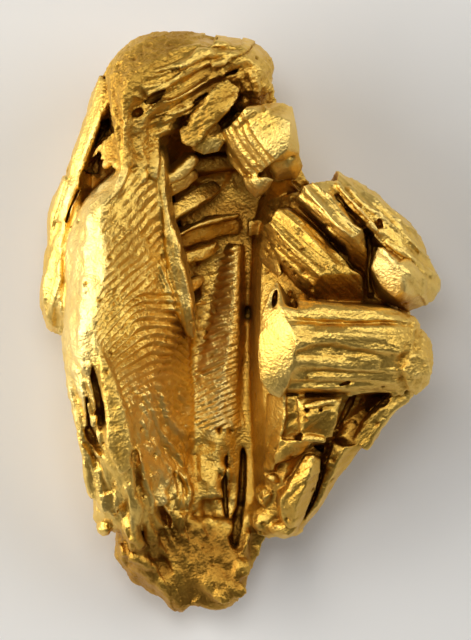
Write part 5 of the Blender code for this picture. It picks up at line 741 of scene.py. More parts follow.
def slots():
    """What is cut out of the fused forms."""
    cut_bar, cut_lump, cut_crystal = (partial(form, cutter=True) for form in (bar, lump, crystal))
    cut_bar("slot_floor", [(0.3, -12.6, 9), (0.3, -15, 9), (0.1, -18, 9), (-0.3, -20.6, 9), (-0.7, -22.8, 9)],
        [0.3, 0.6, 0.7, 1.1, 1.1], 5.6)
    cut_bar("slot_floor_left", [(-1.3, -13.4, 9), (-1.5, -15.6, 9), (-1.5, -18, 9), (-1.3, -20, 9)],
        [0.2, 0.25, 0.3, 0.2], 4)
    cut_bar("slot_side", [(-14.8, -4.8, 23.6), (-14, -8, 23.4), (-13.7, -11, 22.9), (-13.6, -13.6, 21.4),
        (-12.7, -15.6, 19.2)], [0.5, 0.9, 1.1, 1.2, 0.9], 8)
    cut_bar("slot_side_2", [(-15.3, -7.6, 21.2), (-15, -10, 21), (-14.7, -13, 19.7)], [0.25, 0.45, 0.5], 5)
    cut_bar("slot_crown_1", [(-9.4, 21.5, 22), (-8.6, 22.1, 22), (-7.3, 22.9, 22)], [0.3, 0.75, 0.3], 5)
    cut_bar("slot_crown_3", [(-1.6, 24.3, 19), (-0.2, 24.9, 19)], 0.4, 5.5)
    cut_bar("slot_crown_4", [(-5.4, 20.7, 18.6), (-4.2, 21.6, 18.4), (-2.8, 22.8, 18)], [0.3, 0.6, 0.4], 4)
    cut_lump("pit_crown", (-10.2, 20.5, 19.2), (0.6, 0.35, 1.4), 30)
    cut_crystal("gap_upper", [(-13.8, 20, 20), (-12.9, 20.2, 20), (-12.8, 19.3, 20), (-13.7, 18.5, 20),
        (-14.5, 17.2, 20), (-14.2, 18.6, 20), (-13.8, 20, 7), (-12.9, 20.2, 7), (-12.9, 19.3, 7),
        (-14.5, 17.2, 7)])
    cut_crystal("gap_lower", [(-13.9, 16.9, 20), (-13.5, 16.1, 20), (-14.2, 14.6, 20), (-15, 14.4, 20),
        (-15.9, 14.9, 20), (-14.8, 15.9, 20), (-13.9, 16.9, 7), (-14.2, 14.6, 7), (-15.9, 14.9, 7)])
    cut_bar("gap_line", [(-15.8, 13.6, 17.8), (-16.7, 11.6, 18), (-17.4, 9.6, 18)], [0.4, 0.35, 0.2], 8)
    cut_lump("pit_lens", (3.45, 2.2, 19.5), (0.32, 1, 3), -10)
    cut_lump("pit_lens_2", (5.2, 2.6, 18.4), (0.55, 0.95, 4), 24)
    cut_lump("pit_a_1", (5, 5.2, 18.4), (0.3, 0.3, 1.6))
    cut_lump("pit_a_2", (5.5, 4.5, 18.4), (0.3, 0.4, 1.6))
    cut_lump("pit_a_3", (5.5, 3.7, 18.4), (0.4, 0.35, 2))
    cut_bar("slot_bc", [(9.6, 12.6, 20), (10.2, 11.5, 20), (10.8, 10.5, 20), (12.2, 9.1, 20)],
        [0.2, 0.3, 0.3, 0.35], 4.5)
    cut_bar("gap_bd", [(12.9, 8.7, 20), (13, 6.8, 20), (12.8, 4.6, 20), (13.1, 2.2, 20)],
        [0.5, 0.7, 0.4, 1], 11)
    cut_lump("pit_c", (13.8, 9.5, 18.4), (0.4, 0.7, 1.4), 20)
    cut_lump("pit_block_1", (12.2, -8.2, 15.6), (0.6, 0.6, 3.4))
    cut_lump("pit_block_2", (11.5, -10.2, 14.6), (0.4, 0.45, 3))
    cut_lump("pit_block_3", (13.8, -8.1, 14.8), (1.1, 0.8, 1.6), 10)
    cut_bar("slot_block", [(11.2, -7.8, 20.6), (10.3, -9.6, 20.4), (9.2, -11.8, 20.2)], [0.5, 0.7, 0.5], 9)
    cut_bar("slot_ledge", [(9.8, -6.5, 20), (11, -6.1, 20)], 0.3, 3)
    cut_lump("pit_cluster_1", (6.7, -8.9, 17.4), (0.3, 0.25, 1.2))
    cut_lump("pit_cluster_2", (8, -8.9, 17.4), (0.3, 0.25, 1.2))
    cut_crystal("gap_leaf", [(7.2, -12.5, 20), (8.4, -12.5, 20), (8.4, -13.4, 20), (7.8, -13.3, 20),
        (7.2, -12.5, 9), (8.4, -12.5, 9), (8.4, -13.4, 9)])
    cut_lump("pit_tail", (-7.4, -19.8, 11), (0.5, 1.5, 3.4), 24)
    cut_lump("pit_leaf", (-6.5, -15.9, 10), (0.4, 0.9, 1.4), 20)
    cut_lump("pit_inner", (-8.1, -5, 15.4), (0.7, 0.5, 1))
    cut_lump("pit_rung", (-2.1, -11, 8), (0.3, 0.5, 1.4))


# ---------------------------------------------------------------- relief


def hashed(cell, seed):
    """A fixed number from 0 to 1 for each cell: the large numbers are a common integer hash's."""
    a, b, c = (cell[:, i].astype(np.int64).astype(np.uint32) for i in range(3))
    n = a * np.uint32(374761393) + b * np.uint32(668265263) + c * np.uint32(2246822519)
    n = n + np.uint32((seed * 3266489917) % 4294967296)
    n = (n ^ (n >> np.uint32(13))) * np.uint32(1274126177)
    n = (n ^ (n >> np.uint32(16))) * np.uint32(2654435761)
    n = n ^ (n >> np.uint32(15))
    return (n & np.uint32(0xFFFFFF)).astype(np.float64) / 16777216.0


def swell(points, size, seed=0):
    """Smooth noise from -1 to 1 whose features are about size wide."""
    scaled = points / size
    base = np.floor(scaled)
    part = scaled - base
    part = part * part * (3 - 2 * part)
    total = np.zeros(len(points))
    for corner in range(8):
        offset = np.array([corner & 1, corner >> 1 & 1, corner >> 2 & 1])
        weight = np.prod(np.where(offset, part, 1 - part), axis=1)
        total += weight * hashed(base + offset, seed)
    return total * 2 - 1


def rough(points, size, seed=0, octaves=3):
    """Several sizes of smooth noise on each other."""
    total, scale, weight = np.zeros(len(points)), 1.0, 0.0
    for k in range(octaves):
        total += scale * swell(points, size / 2**k, seed + 17 * k)
        weight += scale
        scale *= 0.5
    return total / weight


def cells(points, size, seed=0):
    """Distances to the nearest and to the second of scattered centres, and the nearest one's number."""
    scaled = points / size
    base = np.floor(scaled)
    first = np.full(len(points), 9.0)
    second = np.full(len(points), 9.0)
    number = np.zeros(len(points))
    for i in (-1, 0, 1):
        for j in (-1, 0, 1):
            for k in (-1, 0, 1):
                cell = base + (i, j, k)
                centre = cell + np.stack([hashed(cell, seed + s) for s in (1, 2, 3)], axis=1)
                away = np.sqrt(((scaled - centre) ** 2).sum(axis=1))
                nearer = away < first
                second = np.where(nearer, first, np.minimum(second, away))
                number = np.where(nearer, hashed(cell, seed + 4), number)
                first = np.where(nearer, away, first)
    return first * size, second * size, number


def soft(value, low, high):
    """0 below low and 1 above high, with an even slope between them."""
    t = np.clip((value - low) / (high - low), 0, 1)
    return t * t * (3 - 2 * t)


def inside(points, outline, blur=0.5):
    """1 inside an outline in plan, 0 outside it, soft over blur on both sides."""
    x, y = points[:, 0], points[:, 1]
    crossed = np.zeros(len(points), bool)
    away = np.full(len(points), 1e9)
    for (x0, y0), (x1, y1) in zip(outline, outline[1:] + outline[:1]):
        if y0 != y1:
            hit = ((y0 > y) != (y1 > y)) & (x < (x1 - x0) * (y - y0) / (y1 - y0) + x0)
            crossed ^= hit
        length = (x1 - x0) ** 2 + (y1 - y0) ** 2
        t = np.clip(((x - x0) * (x1 - x0) + (y - y0) * (y1 - y0)) / length, 0, 1)
        away = np.minimum(away, (x - x0 - t * (x1 - x0)) ** 2 + (y - y0 - t * (y1 - y0)) ** 2)
    signed = np.where(crossed, 1, -1) * np.sqrt(away)
    return soft(signed, -blur, blur)


def widest(points, outlines, blur):
    """The same for several outlines taken together."""
    return np.maximum.reduce([inside(points, outline, blur) for outline in outlines])


def turned(points, angle):
    """Distance along and across a direction in plan, in degrees from +X."""
    c, s = math.cos(math.radians(angle)), math.sin(math.radians(angle))
    return points[:, 0] * c + points[:, 1] * s, points[:, 1] * c - points[:, 0] * s


def stretched(points, angle, size, ratio, seed):
    """Noise in streaks of this direction in degrees, size wide and ratio times as long."""
    along, across = turned(points, angle)
    flat = np.stack([along / ratio, across, points[:, 2] * 0.35], axis=1)
    return rough(flat, size, seed, 2)


def ledge(phase, drop=0.22):
    """A step for each whole number: a slow rise, and a quick drop over this share of it."""
    f = phase - np.floor(phase)
    return np.where(f < 1 - drop, f / (1 - drop), (1 - f) / drop) - 0.5


def striae(points, angle, width, seed, wander=0.5, edge=0.3):
    """Long flat strips side by side in this direction, each at its own height, with narrow edges."""
    along, across = turned(points, angle)
    drift = np.stack([along / 6, across / 2.5, points[:, 2] * 0.2], axis=1)
    place = (across + wander * swell(drift, 1, seed)) / width
    strip = np.floor(place)
    share = soft(place - strip, 0, edge)
    spans = np.floor(along / (width * 9) + hashed(np.stack([strip, strip, strip], axis=1), seed) * 7)
    this = hashed(np.stack([strip, spans, strip * 0], axis=1), seed + 3)
    last = hashed(np.stack([strip - 1, spans, strip * 0], axis=1), seed + 3)
    return 2 * (last + (this - last) * share) - 1


# Where the surface changes, in plan.
WING_EDGE = [
    (-11.3, 14.8), (-12.3, 12.7), (-13.7, 11), (-13.9, 10), (-13.6, 8.2), (-13.3, 5), (-14.2, 0.6),
    (-14.4, -1),
]
WING_FACE = WING_EDGE + [
    (-13.4, -2.4), (-12.6, -5), (-11.7, -7), (-10.9, -10), (-10.5, -13), (-9.4, -17), (-7, -22), (-5, -22),
    (-5.6, -14), (-5, -7), (-5.2, -3), (-6.6, 3), (-7.6, 8), (-8.2, 12), (-8.6, 15.4),
]
WING_BAND = WING_EDGE + [(-13.6, -2), (-14.6, -6), (-16, -10), (-18, -10), (-18.6, 0), (-18, 12), (-14, 16)]
STRIP = [(-2.6, 7), (-0.2, 7), (-0.2, -11), (-6.2, -11), (-5.4, -5), (-4, 0)]
WORN = [  # how much softer the edges are there
    (0.22, [(-4, 7.5), (1, 7.5), (1, -6), (-6.4, -6), (-5, 0)]),
    (1.0, [(-6.4, -6), (1, -6), (1.4, -17), (1.6, -30), (-6, -31), (-13, -26), (-12.6, -21), (-10.6, -13),
        (-9, -9)]),
]
OUTER_SHEET = [
    (-20.6, -2), (-20.6, 3), (-19.6, 12), (-16, 20), (-14.4, 25), (-12, 24), (-14, 17), (-16.4, 11),
    (-17.6, 7), (-17.6, -2),
]
BLADE = [(-8.6, 14), (-7.8, 8), (-6.6, 3), (-5.2, -3), (-3.8, -2), (-4.8, 4), (-6, 9), (-7.4, 15)]
LOWER_RIM = [
    (-13.7, -3), (-14, -4.5), (-13.4, -8), (-13.2, -9.4), (-13.3, -13), (-11.4, -15.9), (-10, -19),
    (-8.6, -22), (-7.8, -22), (-9.4, -17), (-10.4, -12.8), (-11.1, -10), (-12, -6.7), (-13, -3),
]
CROWN = [(-13.4, 15), (-13.6, 24), (-9, 30), (4, 30), (6, 24), (3.4, 19), (-1, 19), (-6, 16.6), (-10, 15.6)]
CROWN_GRAIN = [
    (-13.6, 15), (-14, 25), (-9, 29), (-3, 30), (-6, 26.2), (-8.6, 24.4), (-10.4, 22.6), (-11.4, 20),
    (-12, 15),
]
BUBBLES = [(-11.8, 15.4), (-11.6, 19.8), (-9.4, 20.2), (-8, 18), (-8.4, 15.2)]
CROSS_BAR = [(-6.4, 18), (-4.6, 16.6), (0.2, 23.8), (-1.6, 24.2)]
KNOB = [(-0.8, 22.6), (0.4, 26.4), (3.2, 26.4), (3.8, 22), (2.6, 20.8)]
CENTRE_FACE = [(0.4, 21), (5.4, 20.4), (5.4, 17), (3.6, 15.8), (2.4, 17), (1.2, 18.9)]
CENTRE_STEPPED = [(-2.2, 19.4), (0, 20.9), (1, 18.8), (2.3, 16.8), (3.3, 15.5), (2.6, 13), (-0.4, 13)]
CRYSTAL_A = [(2, 11.6), (4.6, 11.8), (11, 5.6), (12.2, 4.6), (12.4, 2), (7, 2), (1.6, 8)]
CRYSTAL_B = [(4.6, 14), (7.4, 14.6), (13.2, 8.6), (13, 4.6), (11.2, 5), (5, 11.4)]
CRYSTAL_C = [(7, 15), (10.4, 15.4), (16, 12), (20.4, 4.6), (19.4, 0.4), (16.4, 4), (12.6, 7.4)]
CRYSTAL_D = [(13.2, 7.4), (15, 6.2), (16.6, 4), (15.6, 1.6), (12.6, 4.8)]
A_PITTED = [(3.2, 8.8), (4.6, 8), (6.6, 4.4), (8.4, 2), (5, 1.4), (2.6, 6)]
BLOCK_TOP = [(5.4, 3), (8, 2.4), (17.6, 1), (18, -2), (17.4, -6.6), (14.6, -8.6), (6.6, -9), (5.6, -3.4)]
BLOCK_LEFT = [(2, 4), (4, 4), (5.4, 0), (5.6, -3.4), (5.4, -8), (3.6, -12), (2, -6)]
BLOCK_END = [(16.4, 1), (18, 0), (20, -2), (20, -5), (16, -9.6), (15.4, -6)]
LOWER_CLUSTER = [(4, -8.6), (12, -8.8), (15.4, -7.4), (14, -12), (6, -22), (1, -22), (2, -14)]
TAIL = [(-13.4, -21), (-9, -21.4), (-5, -20), (0.4, -21.6), (2.4, -23), (1.6, -30), (-6.6, -31), (-13, -26)]
FACE_LOW = [(-12.4, -5), (-5.4, -5), (-5, -19), (-9, -19)]
RIGHT_WALL = [(0.4, 5), (2.2, 5), (3, -13), (0.2, -13)]
RIBBONS = [
    (-16.8, -5), (-14.4, -4), (-13.8, -9), (-13.6, -14), (-11.4, -17), (-10.2, -24), (-12, -25), (-15, -20),
]
LOWER_FOLDS = [(-11.4, -12.4), (-7, -12.4), (-5.6, -18), (-4, -25), (-9, -26), (-12, -21)]
LOWER_FLOOR = [(-6.6, -12), (-1.8, -11.8), (1, -21), (-2, -25), (-6.4, -23)]
STREAKS = [  # the direction of fine streaks in degrees from +X, their strength and where they are
    (29, 0.9, [CROWN]),
    (-42, 0.65, [CRYSTAL_A, CRYSTAL_B, CRYSTAL_C]),
    (-2, 0.3, [BLOCK_TOP]),
    (35, 0.5, [LOWER_CLUSTER]),
    (72, 0.7, [OUTER_SHEET]),
    (-80, 0.8, [BLADE]),
    (-66, 0.35, [TAIL, LOWER_FOLDS]),
    (-68, 0.9, [FACE_LOW]),
    (-77, 0.8, [RIBBONS]),
    (-60, 0.8, [CENTRE_STEPPED]),
]
PAINTED_SHADING_BY_REGION = [  # how much darker each region's colour is painted, as painted shade; less than 0 is paler, as a painted highlight
    (0.42, TAIL),
    (0.14, LOWER_FLOOR),
    (-0.2, STRIP),
    (0.08, WING_FACE),
    (-0.18, FACE_LOW),
    (0.24, CRYSTAL_A),
    (0.2, CROWN_GRAIN),
    (0.14, CROWN),
    (0.24, LOWER_CLUSTER),
    (0.22, LOWER_RIM),
    (0.14, CROSS_BAR),
    (0.09, BLOCK_TOP),
    (0.06, RIGHT_WALL),
    (-0.2, WING_BAND),
    (-0.12, CRYSTAL_D),
]


def relief(p, n):
    """At points p with normals n: how far the surface stands proud of the forms, and its crust and pits.

    Each line of lifted is a region's share times its heights in grid units. The numbers in rough() and
    striae() are the direction in degrees, the size of the features and a seed.
    """
    x, y = p[:, 0], p[:, 1]
    up = soft(n[:, 2], -0.35, 0.15)
    under = soft(-n[:, 2], 0.1, 0.6)
    wobble = rough(p, 3.2, 5)

    face = inside(p, WING_FACE, 0.35) * up * soft(n[:, 0], -0.35, 0.05)
    band = inside(p, WING_BAND, 0.5) * soft(-n[:, 0], -0.3, 0.4)
    blade = inside(p, BLADE, 0.3) * up
    rim = inside(p, LOWER_RIM, 0.25) * up
    crown = inside(p, CROWN, 0.4) * up
    grain = np.maximum.reduce([
        0.7 * rim,
        inside(p, CROWN_GRAIN, 0.8) * up,
        inside(p, BUBBLES, 0.3) * up,
        0.6 * inside(p, CROSS_BAR, 0.2) * up,
        0.8 * inside(p, KNOB, 0.4) * up,
        0.8 * inside(p, BLOCK_END, 0.8) * up,
        0.3 * inside(p, TAIL, 0.8) * up,
    ])
    lifted = np.zeros(len(p))

    # The whole surface: soft hammered swells with finer ones on them, less on flat crystal faces.
    flat = widest(p, (CENTRE_FACE, CRYSTAL_A, CRYSTAL_B, CRYSTAL_D, BLOCK_LEFT), 0.3)
    lifted += (1 - 0.75 * flat * up) * (0.12 * rough(p, 2.6, 1) + 0.06 * rough(p, 0.9, 2))

    # The wing's inner face: arcs below, chevrons in the middle, slanted growth lines above.
    bend, other_bend = np.maximum(0, -8 - x), np.maximum(0, x + 7.2)
    arcs = ledge((y + 0.13 * bend**2 + 0.25 * other_bend**2 + 0.5 * swell(p, 2.6, 5)) / 0.86, 0.36)
    chevron = ledge((y + 0.9 * np.maximum(0, -8.4 - x) + 2 * np.maximum(0, x + 8.4) + 0.3 * wobble) / 0.9)
    lines = ledge((turned(p, 48)[1] + 0.5 * wobble + 0.15 * swell(p, 1.1, 3)) / 0.8, 0.25)
    low = soft(y, -11.5, -7) * soft(-y, -3.2, -2.4)
    mid = soft(y, 2.4, 3.4) * soft(-y, -6.4, -5)
    high = soft(y, 4.6, 6.4)
    uneven = 0.75 + 0.5 * rough(p, 2.2, 6)
    arc_height = 0.46 + 0.24 * soft(y, -5, -2.5)
    lifted += face * uneven * (arc_height * low * arcs + 0.42 * mid * chevron + 0.27 * high * lines)
    lifted += face * (0.07 * high + 0.18 * soft(-y, 6, 9)) * rough(p, 0.9, 4)
    lifted += face * soft(-y, 5, 9) * (0.4 * striae(p, -70, 0.7, 31, 1.6) + 0.3 * rough(p, 1.5, 8))
    lifted += blade * 0.08 * striae(p, -80, 0.5, 33)

    # The ribbons low on the left: long folds.
    ribbons = inside(p, RIBBONS, 0.4) * up
    lifted += ribbons * (0.3 * striae(p, -77, 0.65, 37, 1.4) + 0.16 * rough(p, 1.2, 38))

    # The hollow's floor: soft rungs that climb to the right, closer together at its lower end.
    strip = inside(p, STRIP, 0.5) * up
    climb = y - 0.42 * x + 0.4 * wobble
    rungs = ledge(climb / 0.8 + 0.55 * np.minimum(0, climb + 3), 0.45)
    lifted += strip * (0.26 * rungs + 0.12 * rough(p, 1.3, 36))

    # The wing's outside: hammered.
    lifted += band * (0.2 * rough(p, 1.7, 9) + 0.14 * rough(p, 0.7, 10))
    sheet = inside(p, OUTER_SHEET, 0.3) * soft(n[:, 2], -0.5, 0)
    lifted += sheet * (0.16 * striae(p, 72, 0.75, 34, 1.2) + 0.2 * rough(p, 1.3, 35))

    # The crown: striae that climb to the right.
    climbing = 0.32 * soft(y, 17, 19.5) * striae(p, 29, 0.8, 41, 1.1, 0.2)
    lifted += crown * (1 - grain) * (climbing + 0.16 * rough(p, 1.1, 42))

    # The centre block's steps and the long crystals' striae.
    stepped = inside(p, CENTRE_STEPPED, 0.3) * up
    lifted += stepped * 0.07 * striae(p, -60, 0.45, 43, 0.3)
    crystals = widest(p, (CRYSTAL_A, CRYSTAL_B, CRYSTAL_C), 0.3) * up
    crystals *= 1 - inside(p, CRYSTAL_D, 0.3)
    lifted += crystals * (0.14 * striae(p, -41, 0.95, 47, 0.5, 0.14) + 0.045 * striae(p, -40, 0.4, 48, 0.4))
    outside = inside(p, CRYSTAL_C, 0.6) * soft(n[:, 0], 0.2, 0.7)
    lifted += outside * (0.28 * rough(p, 1.5, 49) + 0.24 * striae(p, -48, 0.9, 50, 1.3))
    block = inside(p, BLOCK_TOP, 0.3) * up
    bands = 0.045 * striae(p, -3, 0.4, 53, 0.5) + 0.09 * striae(p, 1, 1.2, 54, 1.2, 0.16)
    lifted += block * (bands + 0.06 * rough(p, 1.2, 51))
    cluster = inside(p, LOWER_CLUSTER, 0.5) * up
    lifted += cluster * (0.12 * rough(p, 1.3, 12) + 0.07 * striae(p, 40, 0.7, 55, 0.8))
    tail = inside(p, TAIL, 0.8)
    lifted += tail * (0.45 * rough(p, 2.2, 13, 2) + 0.1 * striae(p, -62, 0.9, 56, 1.4))
    floor = inside(p, LOWER_FLOOR, 0.8) * up
    lifted += floor * (0.25 * stretched(p, -84, 0.9, 4, 14) + 0.4 * rough(p, 1.5, 17))
    folds = inside(p, LOWER_FOLDS, 0.8) * up
    lifted += folds * 0.55 * stretched(p, -66, 0.8, 4, 16)

    # Granular crust.
    near, next_near, number = cells(p, 0.5, 61)
    beads = soft(next_near - near, 0.0, 0.25) * (0.4 + number)
    worms = 1 - 2 * np.abs(swell(p, 0.7, 62))
    lifted += grain * (0.12 * beads + 0.16 * worms - 0.05)

    # Pits: sparse all over, crowded where the crystals are corroded.
    corroded = np.maximum(inside(p, A_PITTED, 0.4), inside(p, LOWER_CLUSTER, 0.8) * 0.25)
    pit_near, _, pit_number = cells(p, 1.0, 71)
    pit = soft(-pit_near, -0.34, -0.16) * (pit_number < 0.07 + 0.5 * corroded)
    lifted -= pit * (0.2 + 0.25 * corroded)

    # The back: growth steps that follow the crystals' slopes.
    lifted += under * (0.2 * rough(p, 1.8, 15) + 0.1 * striae(p, 65, 0.8, 57, 1.0))

    return lifted, grain, pit


def streaks(p):
    """Fine streaks: the places across and along them, and how strong they are."""
    found = np.zeros((len(p), 3))
    for angle, strength, outlines in STREAKS:
        within = widest(p, outlines, 0.4)
        along, across = turned(p, angle)
        here = np.stack([across, along, strength * soft(within, 0.5, 1)], axis=1)
        found[within > 0.5] = here[within > 0.5]
    return found


# ---------------------------------------------------------------- assembly


def joined(name, meshes):
    """One object made of these closed meshes."""
    bm = bmesh.new()
    for mesh in meshes:
        bm.from_mesh(mesh)
        bpy.data.meshes.remove(mesh)
    mesh = bpy.data.meshes.new(name)
    bm.to_mesh(mesh)
    bm.free()
    return shown(name, mesh)


def applied(obj):
    """Replaces the object's mesh by what its modifiers make of it."""
    bpy.context.view_layer.update()
    made = bpy.data.meshes.new_from_object(obj.evaluated_get(bpy.context.evaluated_depsgraph_get()))
    old = obj.data
    obj.modifiers.clear()
    obj.data = made
    bpy.data.meshes.remove(old)


def voxel_remesh(obj, size):
    """Fuses the object's overlapping shells on a grid of this cell size."""
    fuse = obj.modifiers.new("fuse", "REMESH")
    fuse.mode = "VOXEL"
    fuse.voxel_size = size
    applied(obj)


def subtract(obj, cutter):
    """Cuts the cutter out of the object."""
    cut = obj.modifiers.new("cut", "BOOLEAN")
    cut.operation = "DIFFERENCE"
    cut.object = cutter
    cut.solver = "MANIFOLD"
    applied(obj)


def arrays(mesh):
    """Vertex places in grid units and vertex normals."""
    count = len(mesh.vertices)
    places, normals = np.empty(count * 3), np.empty(count * 3, np.float32)
    mesh.vertices.foreach_get("co", places)
    mesh.vertex_normals.foreach_get("vector", normals)
    places = places.reshape(-1, 3) / UNIT + (ORIGIN[0], ORIGIN[1], 0)
    return places, normals.reshape(-1, 3).astype(np.float64)


def edge_ends(mesh):
    """The numbers of the two vertices of each edge."""
    edges = np.empty(len(mesh.edges) * 2, np.int32)
    mesh.edges.foreach_get("vertices", edges)
    return edges.reshape(-1, 2).T


def placed(mesh, places):
    """Puts the vertices at these places, which are in grid units, inside the solid's box."""
    co = (places - (ORIGIN[0], ORIGIN[1], 0)) * UNIT
    co = np.clip(co, CAD_BOX[0], CAD_BOX[1])
    mesh.vertices.foreach_set("co", co.astype(np.float32).ravel())
    mesh.update()


def outer_shell(mesh):
    """Keeps the largest connected shell only."""
    a, b = edge_ends(mesh)
    label = np.arange(len(mesh.vertices))
    while True:
        least = np.minimum(label[a], label[b])
        fresh = label.copy()
        np.minimum.at(fresh, a, least)
        np.minimum.at(fresh, b, least)
        fresh = fresh[fresh]
        if (fresh == label).all():
            break
        label = fresh
    main = np.bincount(label).argmax()
    if (label == main).all():
        return
    bm = bmesh.new()
    bm.from_mesh(mesh)
    bm.verts.ensure_lookup_table()
    bmesh.ops.delete(bm, geom=[bm.verts[i] for i in np.flatnonzero(label != main)], context="VERTS")
    bm.to_mesh(mesh)
    bm.free()


def worn(mesh, places):
    """The places with the edges softened: each is moved towards its neighbours' middle, many times."""
    a, b = edge_ends(mesh)
    size = len(places)
    count = np.bincount(a, minlength=size) + np.bincount(b, minlength=size)
    share = WEAR_SHARE * np.maximum.reduce([s * inside(places, outline, 0.8) for s, outline in WORN])
    for _ in range(WEAR):
        for k in range(3):
            near = np.bincount(a, places[b, k], size) + np.bincount(b, places[a, k], size)
            places[:, k] += share * (near / count - places[:, k])
    return places


def shadowed(mesh, places, normals):
    """0 in the open and 1 deep in the hollow: the share of short rays that meet the surface."""
    tree = BVHTree.FromPolygons([tuple(v) for v in places], [tuple(f.vertices) for f in mesh.polygons])
    starts = (places + normals * RAY_START).tolist()
    meets = np.zeros(len(places))
    side = np.cross(normals, np.where(np.abs(normals[:, 2:]) < 0.9, (0, 0, 1), (1, 0, 0)))
    side /= np.linalg.norm(side, axis=1)[:, None]
    other = np.cross(normals, side)
    for k in range(RAYS):
        high = 1 - (k + 0.5) / RAYS
        turn = GOLDEN_ANGLE * k
        flat = math.sqrt(1 - high)
        ways = side * (flat * math.cos(turn)) + other * (flat * math.sin(turn)) + normals * math.sqrt(high)
        for i, (start, way) in enumerate(zip(starts, ways.tolist())):
            if tree.ray_cast(start, way, REACH)[0] is not None:
                meets[i] += 1
    return soft(meets / RAYS, 0.15, 0.95)


def enclosed(mesh, places, normals):
    """0 on ridges and 1 in creases: how far the neighbours rise above each point."""
    a, b = edge_ends(mesh)
    step = places[b] - places[a]
    length = np.sqrt((step**2).sum(axis=1)) + 1e-9
    rise = np.zeros(len(places))
    count = np.zeros(len(places))
    for here, sign in ((a, 1), (b, -1)):
        np.add.at(rise, here, sign * (step * normals[here]).sum(axis=1) / length)
        np.add.at(count, here, 1)
    rise /= np.maximum(count, 1)
    for _ in range(3):
        total = rise.copy()
        np.add.at(total, a, rise[b])
        np.add.at(total, b, rise[a])
        rise = total / (count + 1)
    return np.clip(0.5 + 2.2 * rise, 0, 1)


def nugget_shape():
    """The forms fused and cut, with worn edges and relief, at TRIANGLES triangles."""
    for group in (
        back, rest_faces, back_crystals, column, ribs, left_wing, left_layers, crown, crown_details,
        centre_block, right_mass, right_crystals, lower_block, lower_cluster, tail, slots,
    ):
        group()
    piece = joined("nugget_surface", FORMS)
    cutter = joined("slots_and_pits", CUTTERS)
    voxel_remesh(cutter, CUT_CELL)
    voxel_remesh(piece, CELL)
    subtract(piece, cutter)
    bpy.data.objects.remove(cutter, do_unlink=True)
    outer_shell(piece.data)

    places, _ = arrays(piece.data)
    placed(piece.data, worn(piece.data, places))
    places, normals = arrays(piece.data)
    lifted, _, _ = relief(places, normals)
    places += normals * lifted[:, None]
    places[:, 2] = np.maximum(places[:, 2], 0)
    placed(piece.data, places)

    ease = piece.modifiers.new("ease", "DECIMATE")
    ease.ratio = TRIANGLES / sum(len(f.vertices) - 2 for f in piece.data.polygons)
    applied(piece)
    piece.data.shade_smooth()
    return piece


def nugget_piece():
    """The nugget with what its material reads: its crust and how hollow it is, which is painted as shade, and
    its fine streaks.
    """
    piece = nugget_shape()
    places, normals = arrays(piece.data)
    placed(piece.data, places)
    _, grain, pits = relief(places, normals)
    # Painted shade: creases, places the rays find enclosed, and pits are darkened in the colour, less so on
    # the wing face and the strip.
    open_side = 1 - 0.45 * np.maximum(inside(places, WING_FACE, 0.6), inside(places, STRIP, 0.8))
    shade = shadowed(piece.data, places, normals)
    hollow = 0.42 * enclosed(piece.data, places, normals) + 0.5 * open_side * shade
    hollow += 0.5 * pits
    # Each region painted darker as shade, or paler as a highlight.
    for painted_darkening, outline in PAINTED_SHADING_BY_REGION:
        hollow += painted_darkening * inside(places, outline, 1.5)
    mark = piece.data.color_attributes.new("surface", "FLOAT_COLOR", "POINT")
    values = np.stack([grain, hollow, hollow, np.ones(len(grain))], axis=1).astype(np.float32)
    mark.data.foreach_set("color", values.ravel())
    lines = piece.data.attributes.new("streaks", "FLOAT_VECTOR", "POINT")
    lines.data.foreach_set("vector", streaks(places).astype(np.float32).ravel())
    return piece


# ---------------------------------------------------------------- look


def new_material(name):
    """A material and its shader node."""
    material = bpy.data.materials.new(name)
    material.use_nodes = True
    return material, material.node_tree.nodes["Principled BSDF"]


